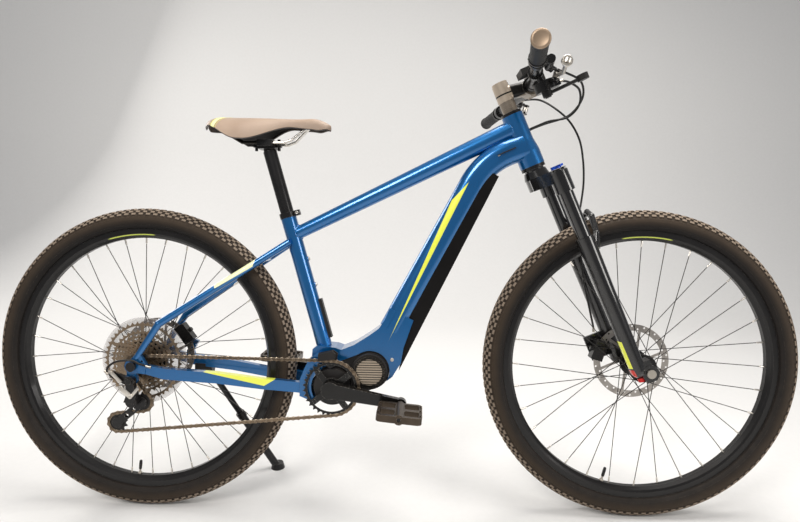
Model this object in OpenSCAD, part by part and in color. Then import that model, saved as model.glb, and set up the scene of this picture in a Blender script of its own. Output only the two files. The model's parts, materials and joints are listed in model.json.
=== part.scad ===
// Hardtail electric mountain bike on its rear side stand
// Millimetres. X forward, Y to the rider's left, Z up. The bike leans on its stand.
// Inside the modules the rear axle is the zero point and the bike is upright;
// park() leans it and sets it on the ground.

/* [Layout] */
// Distance between the two wheel axles
wheelbase = 1177; // [1080:1:1420]
// Rear axle to crank axle
chainstay_length = 460; // [430:1:560]
// Crank axle below the wheel axles
bb_drop = 52; // [30:1:65]
// Seat tube angle from level
seat_angle = 74.55; // [71:0.05:77]
// Head tube angle from level
head_angle = 66.8; // [64:0.1:71]
// Front axle ahead of the steering axis
fork_offset = 51; // [40:1:58]
// Lean to the left on the stand
lean = 5; // [0:0.5:9]

/* [Wheels] */
// Tyre outer diameter
tyre_od = 730; // [690:1:760]
// Tyre width
tyre_width = 57; // [48:1:62]
// Tyre wall thickness
tyre_wall = 3.5; // [2:0.1:6]
// Rim bead seat diameter
bead_seat_d = 622; // [584:1:622]
// Rim depth below the bead seat
rim_depth = 17; // [14:0.5:24]
// Rim outer width
rim_width = 31; // [24:1:38]
// Rear spoke count
rear_spokes_n = 36; // [28:4:36]
// Front spoke count
front_spokes_n = 32; // [28:4:36]
// Spoke diameter
spoke_d = 1.8; // [1.5:0.1:2.3]
// Rear hub width between the frame ends
rear_hub_w = 148; // [142:1:157]
// Front hub width between the fork ends
front_hub_w = 110; // [100:1:110]
// Rear axle diameter
rear_axle_d = 12; // [10:1:14]
// Front axle diameter
front_axle_d = 15; // [12:1:20]
// Brake disc diameter
disc_d = 180; // [160:1:203]
// Brake disc thickness
disc_t = 1.8; // [1.6:0.1:2.2]

/* [Frame] */
// Seat tube length from the crank axle
seat_tube_length = 410; // [380:1:500]
// Seat tube outside diameter
seat_tube_d = 37; // [34:0.5:42]
// Head tube length
head_tube_length = 126; // [100:1:150]
// Head tube top diameter
head_tube_d = 50; // [44:1:56]
// Head tube bottom diameter
head_tube_low_d = 58; // [50:1:62]
// Top tube diameter at the seat tube
top_tube_d = 31; // [28:1:38]
// Top tube diameter at the head tube
top_tube_head_d = 43; // [34:1:50]
// Down tube height
down_tube_h = 60; // [50:1:66]
// Down tube width
down_tube_w = 62; // [50:1:68]
// Seat stay diameter
seat_stay_d = 17; // [14:0.5:20]
// Chain stay height
chain_stay_h = 25; // [20:1:30]
// Gap at welded tube ends
weld = 0.02; // [0.01:0.01:0.05]

/* [Seat] */
// Seat post diameter
seatpost_d = 31.6; // [27.2:0.1:34.9]
// Saddle top above the crank axle, along the seat tube
saddle_height = 645; // [560:1:720]
// Saddle length
saddle_length = 290; // [255:1:300]
// Saddle width
saddle_width = 146; // [130:1:165]
// Saddle rail diameter
rail_d = 7; // [7:0.1:7.2]

/* [Cockpit] */
// Steerer diameter
steerer_d = 28.6; // [25.4:0.1:38.1]
// Stem length
stem_length = 61; // [45:1:90]
// Handlebar clamp diameter
bar_clamp_d = 31.8; // [31.8:0.1:35]
// Handlebar end diameter
bar_d = 22.2; // [22.2:0.1:22.2]
// Half of the handlebar width
bar_half = 380; // [330:1:400]
// Grip diameter
grip_d = 31; // [28:0.5:34]
// Grip length
grip_length = 125; // [110:1:140]

/* [Fork] */
// Front axle to crown race, along the steering axis
axle_to_crown = 517; // [490:1:560]
// Fork travel
fork_travel = 100; // [80:1:120]
// Stanchion diameter
stanchion_d = 32; // [30:1:36]
// Spacing of the fork legs
leg_spacing = 132; // [124:1:140]
// Fork leg ahead of the steering axis
leg_offset = 31; // [20:1:40]

/* [Drive] */
// Chainring teeth
ring_teeth = 32; // [28:1:38]
// Teeth of the cog in use
cog_teeth = 11; // [11:1:11]
// Jockey wheel teeth
jockey_teeth = 11; // [11:1:13]
// Chain pitch
pitch = 12.7; // [12.7:0.1:12.7]
// Chain roller diameter
roller_d = 7.7; // [7.6:0.1:7.8]
// Chainring distance from the middle plane
ring_y = 55; // [52:0.5:58]
// Smallest cog distance from the middle plane
cog_y = 67; // [64:0.5:70]
// Crank length
crank_length = 165; // [160:1:175]
// Crank angle below level
crank_angle = 10; // [0:0.1:45]
// Crank spindle diameter
spindle_d = 22; // [19:1:24]
// Running clearance of a shaft in its hole, on the radius
fit = 0.05; // [0.02:0.01:0.09]
// Running gap between moving pieces
gap = 0.4; // [0.3:0.05:0.8]

/* [Stand] */
// Stand pivot ahead of the rear axle
stand_x = 112; // [80:1:160]
// Stand foot distance from the middle plane
stand_foot_y = 175; // [140:1:220]
// Stand leg slope ahead of upright
stand_rake = 27.4; // [10:0.1:35]
// Stand leg diameter
stand_d = 15; // [12:0.5:18]

/* [Hidden] */
$fn = 48;

tyre_r = tyre_od / 2;
bead_r = bead_seat_d / 2;
sec_r = tyre_width / 2;
ground = (tyre_r - sec_r) * cos(lean) + sec_r;
bb_x = sqrt(chainstay_length * chainstay_length - bb_drop * bb_drop);
axis_x = wheelbase - fork_offset * sin(head_angle);
axis_z = -fork_offset * cos(head_angle);
head_low = axle_to_crown + 12;
head_high = head_low + head_tube_length;
stem_t = head_high + 54;
bar_t = stem_t - 12;
bar_f = stem_length;
bar_end_f = bar_f - 0.147 * bar_half;
bar_end_t = bar_t + 10;
cock_z = axis_z + bar_end_t * sin(head_angle) + bar_end_f * cos(head_angle);
mid_x = wheelbase / 2;
mid_y = cock_z * sin(lean);

// places
module park() {
  translate([-mid_x, -mid_y, ground]) rotate([-lean, 0, 0]) children();
}
module steer() {
  translate([axis_x, 0, axis_z]) rotate([0, head_angle - 90, 0]) children();
}
module seat() {
  translate([bb_x, 0, -bb_drop]) rotate([0, seat_angle - 90, 0]) children();
}
function sp(f, y, t) = [axis_x - t * cos(head_angle) + f * sin(head_angle), y,
  axis_z + t * sin(head_angle) + f * cos(head_angle)];
function st(f, y, t) = [bb_x - t * cos(seat_angle) + f * sin(seat_angle), y,
  -bb_drop + t * sin(seat_angle) + f * cos(seat_angle)];

// shapes
module rod(a, b, d, d2 = 0) {
  v = b - a;
  l = norm(v);
  translate(a) rotate([0, acos(v.z / l), atan2(v.y, v.x)]) rotate([0, 0, 31])
    cylinder(h = l, d1 = d, d2 = (d2 > 0 ? d2 : d));
}
module ball(p, d) {
  translate(p) sphere(d = d);
}
module side(y0, y1) {
  translate([0, y1, 0]) rotate([90, 0, 0]) linear_extrude(y1 - y0) children();
}
module turn_y(x, z, y0, y1, d, d2 = 0) {
  translate([x, y1, z]) rotate([90, 0, 0])
    cylinder(h = y1 - y0, d1 = (d2 > 0 ? d2 : d), d2 = d);
}
module rrect(w, h, r) {
  square([w - 2 * r, h], center = true);
  square([w, h - 2 * r], center = true);
  for (i = [-1, 1], j = [-1, 1]) {
    translate([i * (w / 2 - r), j * (h / 2 - r)]) circle(r = r);
  }
}
// a rounded box tube between two points of the middle plane
module box_tube(a, b, w, h, r) {
  v = b - a;
  l = norm(v);
  translate(a) rotate([0, acos(v.z / l), atan2(v.y, v.x)])
    linear_extrude(l) rrect(h, w, r);
}
// swept round tube through points, made as rings of flat facets
function unit(v) = v / max(norm(v), 1e-9);
function bez(p, i, n, t) = let(
    a = p[max(i - 1, 0)], b = p[i], c = p[min(i + 1, n)], d = p[min(i + 2, n)])
  0.5 * ((2 * b) + (c - a) * t + (2 * a - 5 * b + 4 * c - d) * t * t
    + (3 * b - a - 3 * c + d) * t * t * t);
function smooth_path(p, k) = let(n = len(p) - 1)
  concat([for (i = [0:n - 1], j = [0:k - 1]) bez(p, i, n, j / k)], [p[n]]);
module hose(pts, d, k = 5, m = 8) {
  q = smooth_path(pts, k);
  n = len(q);
  ring = [for (i = [0:n - 1]) let(
      t = unit(q[min(i + 1, n - 1)] - q[max(i - 1, 0)]),
      s = unit(cross(t, [0.13, 0.21, 1])),
      u = cross(s, t))
    for (j = [0:m - 1]) q[i] + (s * cos(360 * j / m) + u * sin(360 * j / m)) * d / 2];
  faces = concat(
    [[for (j = [0:m - 1]) j]],
    [[for (j = [0:m - 1]) (n - 1) * m + m - 1 - j]],
    [for (i = [0:n - 2], j = [0:m - 1])
      [i * m + j, (i + 1) * m + j, (i + 1) * m + (j + 1) % m, i * m + (j + 1) % m]]);
  polyhedron(points = ring, faces = faces, convexity = 6);
}

// frame
down_a = 61.5;
down_b = 17;
down_low = [bb_x + 165, 130];
head_in = let(p = sp(5, 0, head_low + 46)) [p.x, p.z];
function cross_at(p, a, q, b) = let(
    d = cos(a) * sin(b) - sin(a) * cos(b),
    w = q - p)
  p + [cos(a), sin(a)] * (w[0] * sin(b) - w[1] * cos(b)) / d;
down_b2 = min(max(down_b, 8), 30);
down_x = cross_at(down_low, down_a, head_in, down_b2);
bend_r = 170;
bend_l = bend_r * tan((down_a - down_b2) / 2);
down_s = down_x - [cos(down_a), sin(down_a)] * bend_l;
down_e = down_x + [cos(down_b2), sin(down_b2)] * bend_l;
bend_c = down_s + [sin(down_a), -cos(down_a)] * bend_r;
motor_x = bb_x + 88;
motor_z = -bb_drop + 37;
motor_r = 42;
bb_case_r = 48;

module head_outer(grow = 0) {
  steer() {
    translate([0, 0, head_low - 0.001]) cylinder(h = 34, d = head_tube_low_d + grow);
    translate([0, 0, head_low + 34 - 0.01])
      cylinder(h = 26, d1 = head_tube_low_d + grow, d2 = head_tube_d + grow);
    translate([0, 0, head_low + 60 - 0.02])
      cylinder(h = head_tube_length - 60 + 0.02, d = head_tube_d + grow);
  }
}
module head_tube() {
  color([0.05, 0.30, 0.62]) park() difference() {
    head_outer();
    steer() translate([0, 0, head_low - 5])
      cylinder(h = head_tube_length + 10, d = head_tube_d - 7);
    for (s = [-1, 1]) {
      port = sp(0, s * 10, head_high - 46);
      rod(port, sp(40, s * 12, head_high - 46), 7);
    }
  }
}
top_rear = st(-2, 0, seat_tube_length - 43);
top_head = sp(2, 0, head_high - 29);
module top_outer(grow = 0) {
  rod(top_rear, top_head, top_tube_d + grow, top_tube_head_d + grow);
}
module seat_outer(grow = 0) {
  seat() translate([0, 0, 92]) cylinder(h = seat_tube_length - 92, d = seat_tube_d + grow);
}
module top_tube() {
  color([0.08, 0.38, 0.72]) park() difference() {
    top_outer();
    head_outer(2 * weld);
    seat_outer(2 * weld);
    rod(top_rear, top_head, top_tube_d - 5);
    seat() translate([-120, -60, 0]) cube([120, 120, seat_tube_length]);
    steer() translate([0, -60, 0]) cube([120, 120, head_high + 40]);
  }
}
module down_shape(w, h, r) {
  low = [bb_x + 138, 80];
  in = 3 * [cos(down_a), sin(down_a)];
  out = 3 * [cos(down_b2), sin(down_b2)];
  box_tube([low.x, 0, low.y], [down_s[0] + in[0], 0, down_s[1] + in[1]], w, h, r);
  translate([bend_c[0], 0, bend_c[1]]) rotate([90, 0, 0])
    rotate([0, 0, 90 + down_b2])
      rotate_extrude(angle = down_a - down_b2) translate([bend_r, 0]) rrect(h + 0.6, w + 0.6, r);
  box_tube([down_e[0] - out[0], 0, down_e[1] - out[1]], [head_in[0] + 8, 0, head_in[1] + 3], w, h, r);
}
battery_low = [bb_x + 154, -16];
battery_high = [bb_x + 384, 440];
battery_u = unit(battery_high - battery_low);
battery_n = [battery_u[1], -battery_u[0]];
module battery_side(grow = 0) {
  n = battery_n;
  u = battery_u;
  a = battery_low - n * grow - u * grow;
  b = battery_high - n * grow + u * grow;
  polygon([a + n * 2, b, b - n * 26, a + u * 120 - n * (34 + grow),
    a + u * 70 - n * (30 + grow), a + u * 42 - n * 8]);
}
module cradle_side() {
  difference() {
    polygon([[bb_x - 50, 12], [bb_x - 48, 34], [bb_x - 38, 42], [bb_x + 6, 38],
      [bb_x + 20, 33], [bb_x + 50, 45], [bb_x + 86, 68], [bb_x + 109, 85], [bb_x + 122, 105],
      [bb_x + 135, 133], [bb_x + 190, 105], [bb_x + 167, 39], [bb_x + 161, 3],
      [bb_x + 141, -30], [bb_x + 120, -46], [bb_x - 20, -20]]);
    motor_side(0.6);
  }
}
yoke_x = bb_x - 76;
module yoke_side() {
  difference() {
    polygon([[yoke_x, -74], [yoke_x, -38], [yoke_x + 12, -8], [yoke_x + 24, 16],
      [yoke_x + 44, 30], [yoke_x + 60, 20], [yoke_x + 50, -20], [yoke_x + 34, -88]]);
    motor_side(0.6);
  }
}
module motor_side(grow = 0) {
  circle_at(bb_x, -bb_drop, bb_case_r + grow);
  circle_at(motor_x, motor_z, motor_r + 4 + grow);
  g = grow;
  polygon([[bb_x - 12, -bb_drop + 46 + g], [motor_x - 26, motor_z + 38 + g],
    [motor_x + 30, motor_z - 35 - g], [bb_x + 20, -bb_drop - 43 - g]]);
}
module circle_at(x, y, r) {
  translate([x, y]) circle(r = r);
}
module down_tube() {
  color([0.06, 0.34, 0.68]) park() difference() {
    union() {
      difference() {
        down_shape(down_tube_w, down_tube_h, 22);
        box_tube([bb_x + 160, 0, 119], [down_s[0], 0, down_s[1]], down_tube_w - 6, down_tube_h - 6, 19);
        box_tube([down_e[0], 0, down_e[1]], [head_in[0], 0, head_in[1]], down_tube_w - 6, down_tube_h - 6, 19);
      }
      side(0.5 - down_tube_w / 2, down_tube_w / 2 - 0.5) cradle_side();
      side(-48, 48) yoke_side();
    }
    turn_y(0, 0, -36, 36, tyre_od + 16);
    side(-down_tube_w / 2 + 4, down_tube_w / 2 - 4) battery_side(0.4);
    head_outer(2 * weld);
    top_outer(2 * weld);
    seat_outer(2 * weld);
    steer() translate([0, -60, 0]) cube([120, 120, head_high + 40]);
  }
}
module seat_tube() {
  color([0.05, 0.30, 0.62]) park() difference() {
    union() {
      seat_outer();
      for (t = [240, 304]) {
        seat() translate([seat_tube_d / 2 - 3, 0, t]) rotate([0, 90, 0]) cylinder(h = 4.5, d = 11);
      }
    }
    seat() translate([0, 0, 105]) cylinder(h = seat_tube_length, d = seatpost_d + 2 * fit);
    for (t = [240, 304]) {
      seat() translate([0, 0, t]) rotate([0, 90, 0]) cylinder(h = 40, d = 5);
    }
  }
}
end_in = rear_hub_w / 2;
end_out = end_in + 9;
stay_top = st(-8, 21, seat_tube_length - 56);
stay_bend = [62, 76, 98];
stay_low = [8, end_in + 5, 17];
cs_points = [[14, end_in + 4, -3], [70, 71, -18], [120, 66, -23], [190, 59, -29],
  [290, 49, -44], [340, 44.5, -49], [388, 42, -54], [bb_x - 36, 40, -60]];
cs_n = len(cs_points) - 1;
function cs_half(i) = (i < 1 ? 10 : chain_stay_h / 2);
function cs_wide(i) = [4.5, 7, 8.5, 8.5, 7, 7, 7, 7][i];
module stay_shape(s) {
  m = [1, s, 1];
  rod(mul(stay_top, m), mul(stay_bend, m), seat_stay_d);
  ball(mul(stay_bend, m), seat_stay_d + 0.5);
  rod(mul(stay_bend, m), mul(stay_low, m), seat_stay_d, 14);
  intersection() {
    side(-120, 120) polygon(concat(
      [for (i = [0:cs_n]) [cs_points[i].x, cs_points[i].z + cs_half(i)]],
      [for (i = [cs_n:-1:0]) [cs_points[i].x, cs_points[i].z - cs_half(i)]]));
    translate([0, 0, -120]) linear_extrude(200) polygon(concat(
      [for (i = [0:cs_n]) [cs_points[i].x, s * (cs_points[i].y + cs_wide(i))]],
      [for (i = [cs_n:-1:0]) [cs_points[i].x, s * (cs_points[i].y - cs_wide(i))]]));
  }
  side(s > 0 ? end_in : -end_out, s > 0 ? end_out : -end_in) {
    circle_at(0, 0, 17);
    polygon([[-3, 16], [15, 34], [24, 22], [34, 4], [30, -18], [8, -15]]);
  }
}
function mul(a, b) = [a.x * b.x, a.y * b.y, a.z * b.z];
module stays(s) {
  difference() {
    stay_shape(s);
    seat_outer(2 * weld);
    turn_y(0, 0, -120, 120, rear_axle_d + 2 * fit);
    turn_y(0, 0, -end_in, end_in, 44);
    // rack eyelet, threaded M5
    turn_y(24, 12, -120, 120, 5);
    side(-60, 60) motor_side(0.6);
    translate([yoke_x - weld, -100, -200]) cube([300, 200, 400]);
  }
}
module right_stays() {
  color([0.05, 0.30, 0.62]) park() {
    difference() {
      union() {
        stays(-1);
        // hanger for the gear mech
        side(-end_out, -end_in) difference() {
          polygon([[-12, -8], [10, -14], [12, -36], [5, -43], [-7, -41], [-13, -30]]);
          circle_at(0, 0, 16.9);
        }
        // bridge over the tyre
        rod([292, -30, 246], [292, 0 - weld, 246], 13);
      }
      side(-120, 0) circle_at(-0.5, -32, 5);
      turn_y(0, 0, -120, 120, rear_axle_d + 2 * fit);
    }
  }
}
module left_stays() {
  color([0.05, 0.30, 0.62]) park() difference() {
    union() {
      stays(1);
      rod([292, weld, 246], [292, 30, 246], 13);
      // brake tab on the left stay
      side(end_in - 12, end_in - 2) polygon([[70, -22], [66, 4], [84, 34], [98, 30], [84, 4], [92, -24]]);
    }
    turn_y(91, 20, 0, 120, 4);
  }
}
module battery() {
  color([0.03, 0.03, 0.035]) park() side(-down_tube_w / 2 + 5, down_tube_w / 2 - 5) battery_side();
}
module motor_case() {
  color([0.05, 0.05, 0.055]) park() difference() {
    union() {
      side(-26.5, 26.5) motor_side();
      side(-44, 44) {
        circle_at(bb_x, -bb_drop, bb_case_r - 5);
        circle_at(motor_x, motor_z, motor_r);
      }
      turn_y(bb_x, -bb_drop, -50, 50, 46);
    }
    turn_y(bb_x, -bb_drop, -80, 80, spindle_d + 2 * fit);
    side(-70, -38) circle_at(motor_x, motor_z, motor_r - 5);
  }
}
module motor_cover() {
  color([0.55, 0.55, 0.55]) park() difference() {
    turn_y(motor_x, motor_z, -49.5, -38 - weld, 2 * (motor_r - 5) - 0.1);
    for (i = [-5:5]) {
      translate([motor_x - 50, -52, motor_z + i * 5.6 - 1.1]) cube([100, 5, 2.2]);
    }
  }
}
module headset() {
  color([0.04, 0.04, 0.045]) park() steer() {
    difference() {
      union() {
        translate([0, 0, head_low - 8]) cylinder(h = 8 - weld, d = head_tube_low_d - 2);
        translate([0, 0, head_low - 8]) cylinder(h = 18, d = head_tube_d - 7 - 2 * weld);
      }
      cylinder(h = 2000, d = 38.2);
    }
    difference() {
      union() {
        translate([0, 0, head_high + weld]) cylinder(h = 7, d = head_tube_d - 3);
        translate([0, 0, head_high - 12]) cylinder(h = 15, d = head_tube_d - 7 - 2 * weld);
      }
      cylinder(h = 2000, d = steerer_d + 2 * fit);
    }
  }
}
module seat_collar() {
  color([0.04, 0.04, 0.045]) park() seat() difference() {
    union() {
      translate([0, 0, seat_tube_length + weld]) cylinder(h = 13, d = seat_tube_d + 2);
      translate([0, -7, seat_tube_length + weld]) cube([30, 14, 13]);
      translate([25, 13, seat_tube_length + 6.5]) rotate([90, 0, 0]) cylinder(h = 26, d = 8);
    }
    translate([0, 0, seat_tube_length - 5]) cylinder(h = 30, d = seatpost_d + 2 * fit);
    translate([10, -1, seat_tube_length - 5]) cube([40, 2, 30]);
  }
}
module rear_axle() {
  color([0.1, 0.1, 0.1]) park() {
    turn_y(0, 0, -end_out - 2, end_out + 2, rear_axle_d);
    turn_y(0, 0, -end_in + weld, -cog_y - 3.4, 20);
    turn_y(0, 0, -end_out - 8, -end_out - weld, 22);
    turn_y(0, 0, end_out + weld, end_out + 7, 19);
  }
}
disc_y = 53;
// disc caliper, its outer face at y0 and its slot over the disc
module caliper_at(x, z, a, y, y0) {
  h = y0 - y + 14;
  translate([x, y, z]) rotate([0, a, 0]) difference() {
    union() {
      translate([-15, y0 - y - h, -24]) cube([28, h, 48]);
      translate([0, y0 - y, -13]) rotate([90, 0, 0]) cylinder(h = h, d = 25);
      translate([0, y0 - y, 12]) rotate([90, 0, 0]) cylinder(h = h, d = 25);
      translate([14, -6, 0]) rotate([0, 90, 0]) cylinder(h = 7, d = 10);
    }
    translate([-60, -disc_t / 2 - 1.2, -60]) cube([68, disc_t + 2.4, 120]);
  }
}
tab_y = end_in - 12;
module rear_caliper() {
  color([0.06, 0.06, 0.065]) park() caliper_at(70, 52, -37, disc_y, tab_y - weld);
}
module chain_guide() {
  color([0.45, 0.42, 0.38]) park() difference() {
    union() {
      side(-51.6, -49.2) polygon([[bb_x - 32, 14], [bb_x - 30, 30], [bb_x + 4, 38], [bb_x + 16, 30], [bb_x + 10, 0],
        [bb_x - 4, -6]]);
      side(-59, -49.2) polygon([[bb_x - 30, 24], [bb_x - 29, 29], [bb_x + 4, 37], [bb_x + 8, 32]]);
      side(-61.2, -58.8) polygon([[bb_x - 30, 12], [bb_x - 29, 29], [bb_x + 4, 37], [bb_x + 12, 30], [bb_x + 10, 18]]);
      turn_y(bb_x + 4, 16, -49.2, -down_tube_w / 2 - weld, 12);
    }
  }
}
pivot_z = -44;
pivot_y = 72;
module stand_bracket() {
  color([0.05, 0.05, 0.055]) park() difference() {
    union() {
      translate([stand_x - 24, 58, -56]) cube([44, 21, 28]);
      turn_y(stand_x, pivot_z - 4, 79, 82, 26);
    }
    stay_shape(1);
    turn_y(stand_x, pivot_z - 4, 65.5, 120, 10.1);
  }
}
module cable_cover() {
  color([0.03, 0.03, 0.03]) park() seat() difference() {
    translate([seat_tube_d / 2 - 2, -8, 108]) cube([8, 16, 96]);
    translate([0, 0, 0]) cylinder(h = 500, d = seat_tube_d + 2 * weld);
  }
}

// chain line: cog, chainring, upper and lower jockey wheels
function pitch_r(n) = pitch / 2 / sin(180 / n);
ring_c = [bb_x, -bb_drop];
cage_c = [2, -80];
guide_off = [13.3, -8.9];
tens_off = [-50.4, -54.4];
function turn2(v, a) = [v[0] * cos(a) - v[1] * sin(a), v[0] * sin(a) + v[1] * cos(a)];
function guide_c(a) = cage_c + turn2(guide_off, a);
function tens_c(a) = cage_c + turn2(tens_off, a);
ring_r = pitch_r(ring_teeth);
cog_r = pitch_r(cog_teeth);
jock_r = pitch_r(jockey_teeth);
function head_of(c1, r1, s1, c2, r2, s2) = let(d = c2 - c1)
  atan2(d[1], d[0]) - asin((s2 * r2 - s1 * r1) / norm(d));
function run_of(c1, r1, s1, c2, r2, s2) = let(k = s2 * r2 - s1 * r1)
  sqrt(pow(norm(c2 - c1), 2) - k * k) / pitch;
function wrap(a) = a - 360 * floor(a / 360);
// the four straight runs: [heading, length in pitches]
function runs(a) = [
  [head_of([0, 0], cog_r, -1, ring_c, ring_r, -1), run_of([0, 0], cog_r, -1, ring_c, ring_r, -1)],
  [head_of(ring_c, ring_r, -1, tens_c(a), jock_r, -1), run_of(ring_c, ring_r, -1, tens_c(a), jock_r, -1)],
  [head_of(tens_c(a), jock_r, -1, guide_c(a), jock_r, 1), run_of(tens_c(a), jock_r, -1, guide_c(a), jock_r, 1)],
  [head_of(guide_c(a), jock_r, 1, [0, 0], cog_r, -1), run_of(guide_c(a), jock_r, 1, [0, 0], cog_r, -1)]];
function arcs(q) = [
  wrap(q[0][0] - q[1][0]) * ring_teeth / 360, wrap(q[1][0] - q[2][0]) * jockey_teeth / 360,
  wrap(q[3][0] - q[2][0]) * jockey_teeth / 360, wrap(q[3][0] - q[0][0]) * cog_teeth / 360];
function total(a) = let(q = runs(a), w = arcs(q))
  q[0][1] + q[1][1] + q[2][1] + q[3][1] + w[0] + w[1] + w[2] + w[3];
links = 2 * round(total(0) / 2);
function solve(lo, hi, n) = let(m = (lo + hi) / 2)
  n == 0 ? m : ((total(m) - links) * (total(lo) - links) <= 0 ? solve(lo, m, n - 1) : solve(m, hi, n - 1));
cage_a = solve(-20, 20, 44);
Q = runs(cage_a);
W = arcs(Q);
U = [0, Q[0][1], Q[0][1] + W[0], Q[0][1] + W[0] + Q[1][1], Q[0][1] + W[0] + Q[1][1] + W[1],
  Q[0][1] + W[0] + Q[1][1] + W[1] + Q[2][1], Q[0][1] + W[0] + Q[1][1] + W[1] + Q[2][1] + W[2],
  Q[0][1] + W[0] + Q[1][1] + W[1] + Q[2][1] + W[2] + Q[3][1]];
function on_circle(c, r, a, y) = [c[0] + r * cos(a), y, c[1] + r * sin(a)];
function on_run(c, r, a, i, u, y0, y1) = let(
    p = on_circle(c, r, a, 0), d = u * pitch,
    f = min(max((u / Q[i][1] - 0.12) / 0.82, 0), 1))
  [p.x + d * cos(Q[i][0]), y0 + (y1 - y0) * f, p.z + d * sin(Q[i][0])];
function on_back(c, r, a, i, u, y0, y1) = let(
    p = on_circle(c, r, a, 0), d = u * pitch,
    f = min(max((u / Q[i][1] - 0.04) / 0.84, 0), 1))
  [p.x + d * cos(Q[i][0]), y0 + (y1 - y0) * f, p.z + d * sin(Q[i][0])];
function pin(v) = let(u = v - links * floor(v / links))
  u < U[1] ? on_run([0, 0], cog_r, Q[0][0] + 90, 0, u, -cog_y, -ring_y)
  : u < U[2] ? on_circle(ring_c, ring_r, Q[0][0] + 90 - (u - U[1]) * 360 / ring_teeth, -ring_y)
  : u < U[3] ? on_back(ring_c, ring_r, Q[1][0] + 90, 1, u - U[2], -ring_y, -cog_y)
  : u < U[4] ? on_circle(tens_c(cage_a), jock_r, Q[1][0] + 90 - (u - U[3]) * 360 / jockey_teeth, -cog_y)
  : u < U[5] ? on_run(tens_c(cage_a), jock_r, Q[2][0] + 90, 2, u - U[4], -cog_y, -cog_y)
  : u < U[6] ? on_circle(guide_c(cage_a), jock_r, Q[2][0] - 90 + (u - U[5]) * 360 / jockey_teeth, -cog_y)
  : u < U[7] ? on_run(guide_c(cage_a), jock_r, Q[3][0] - 90, 3, u - U[6], -cog_y, -cog_y)
  : on_circle([0, 0], cog_r, Q[3][0] + 90 - (u - U[7]) * 360 / cog_teeth, -cog_y);
ring_phase = Q[0][0] + 90 + U[1] * 360 / ring_teeth;
tens_phase = Q[1][0] + 90 + U[3] * 360 / jockey_teeth;
guide_phase = Q[2][0] - 90 - U[5] * 360 / jockey_teeth;
cog_phase = Q[3][0] + 90 + U[7] * 360 / cog_teeth;

// toothed wheel outline with a gullet at the given angle
function tooth(n, a, x, y) = [(pitch_r(n) + y) * cos(a) - x * sin(a), (pitch_r(n) + y) * sin(a) + x * cos(a)];
module teeth(n, phase, tip = 2.6, m = 4) {
  g = roller_d / 2 + 0.35;
  polygon([for (i = [0:n - 1]) let(a = phase + i * 360 / n) for (k = [0:m + 1])
    k <= m ? tooth(n, a, g * sin(-70 + 140 / m * k), -g * cos(-70 + 140 / m * k))
      : (pitch_r(n) + tip) * [cos(a + 180 / n), sin(a + 180 / n)]]);
}
module link(a, b, outer) {
  v = b - a;
  l = norm(v);
  y0 = outer ? 1.95 : 1.1;
  translate(a) rotate([0, 0, atan2(v.y, v.x)]) rotate([0, -asin(v.z / l), 0]) {
    for (s = [-1, 1]) {
      side(s > 0 ? y0 : -y0 - 0.8, s > 0 ? y0 + 0.8 : -y0) {
        circle(r = 4.1);
        translate([l, 0]) circle(r = 4.1);
        translate([0, -2.8]) square([l, 5.6]);
      }
    }
  }
}
module chain() {
  color([0.45, 0.38, 0.28]) park() {
    for (i = [0:links - 1]) {
      link(pin(i), pin(i + 1), i % 2 == 0, $fn = 20);
      p = pin(i);
      turn_y(p.x, p.z, p.y - 1.05, p.y + 1.05, roller_d, $fn = 20);
    }
  }
}
COGS = [11, 13, 15, 17, 19, 21, 24, 28, 32, 37, 46];
cog_step = 3.74;
module cassette() {
  color([0.55, 0.45, 0.30]) park() difference() {
    union() {
      for (i = [0:len(COGS) - 1]) {
        y = -cog_y + i * cog_step;
        n = COGS[i];
        side(y - 0.85, y + 0.85) difference() {
          teeth(n, i == 0 ? cog_phase : 7 * i, 2.6, i == 0 ? 4 : 2);
          if (n > 19) {
            difference() {
              circle(r = pitch_r(n) - 8);
              circle(r = 24);
              for (k = [0:5]) {
                rotate(60 * k + 9 * i) translate([0, -4]) square([120, 8]);
              }
            }
          }
        }
      }
      turn_y(0, 0, -cog_y + 0.8, -cog_y + 3, 34);
      turn_y(0, 0, -cog_y + 2.9, -cog_y + 10 * cog_step, 40);
      turn_y(0, 0, -cog_y - 3, -cog_y, 30);
      turn_y(0, 0, -cog_y + 10 * cog_step, -24.5, 34);
    }
    turn_y(0, 0, -80, 0, rear_axle_d + 2 * fit);
  }
}

// wheels
module turned() {
  rotate([90, 0, 0]) rotate_extrude($fn = 96) children();
}
module rim_cut() {
  r = bead_r;
  i = r - rim_depth;
  w = rim_width / 2;
  difference() {
    polygon([[i, -6], [i, 6], [i + 6, w - 2.5], [i + 11, w], [r + 6, w], [r + 6, w - 3],
      [r, w - 3.4], [r - 1.5, w - 10], [r - 1.5, 10 - w], [r, 3.4 - w], [r + 6, 3 - w],
      [r + 6, -w], [i + 11, -w], [i + 6, 2.5 - w]]);
    polygon([[i + 3, -4], [i + 3, 4], [i + 9, w - 4], [r - 4, w - 4], [r - 4, 4 - w], [i + 9, 4 - w]]);
  }
}
module tyre_cut() {
  c = tyre_r - sec_r;
  f = rim_width / 2 - 3.5;
  wide = sqrt(pow(sec_r - tyre_wall, 2) - pow(c - bead_r - 12, 2));
  difference() {
    translate([c, 0]) circle(r = sec_r);
    intersection() {
      translate([c, 0]) circle(r = sec_r - tyre_wall);
      translate([bead_r + 12, -60]) square([100, 120]);
    }
    polygon([[bead_r - 20, 4 - f], [bead_r + 7.5, 4 - f], [bead_r + 12.05, -wide], [bead_r + 12.05, wide],
      [bead_r + 7.5, f - 4], [bead_r - 20, f - 4]]);
    translate([bead_r - 60.2, -60]) square([60.4, 120]);
    for (s = [-1, 1]) {
      translate([bead_r - 20, s > 0 ? f : -f - 40]) square([26.4, 40]);
    }
  }
}
flange_out = 1.25;
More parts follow.
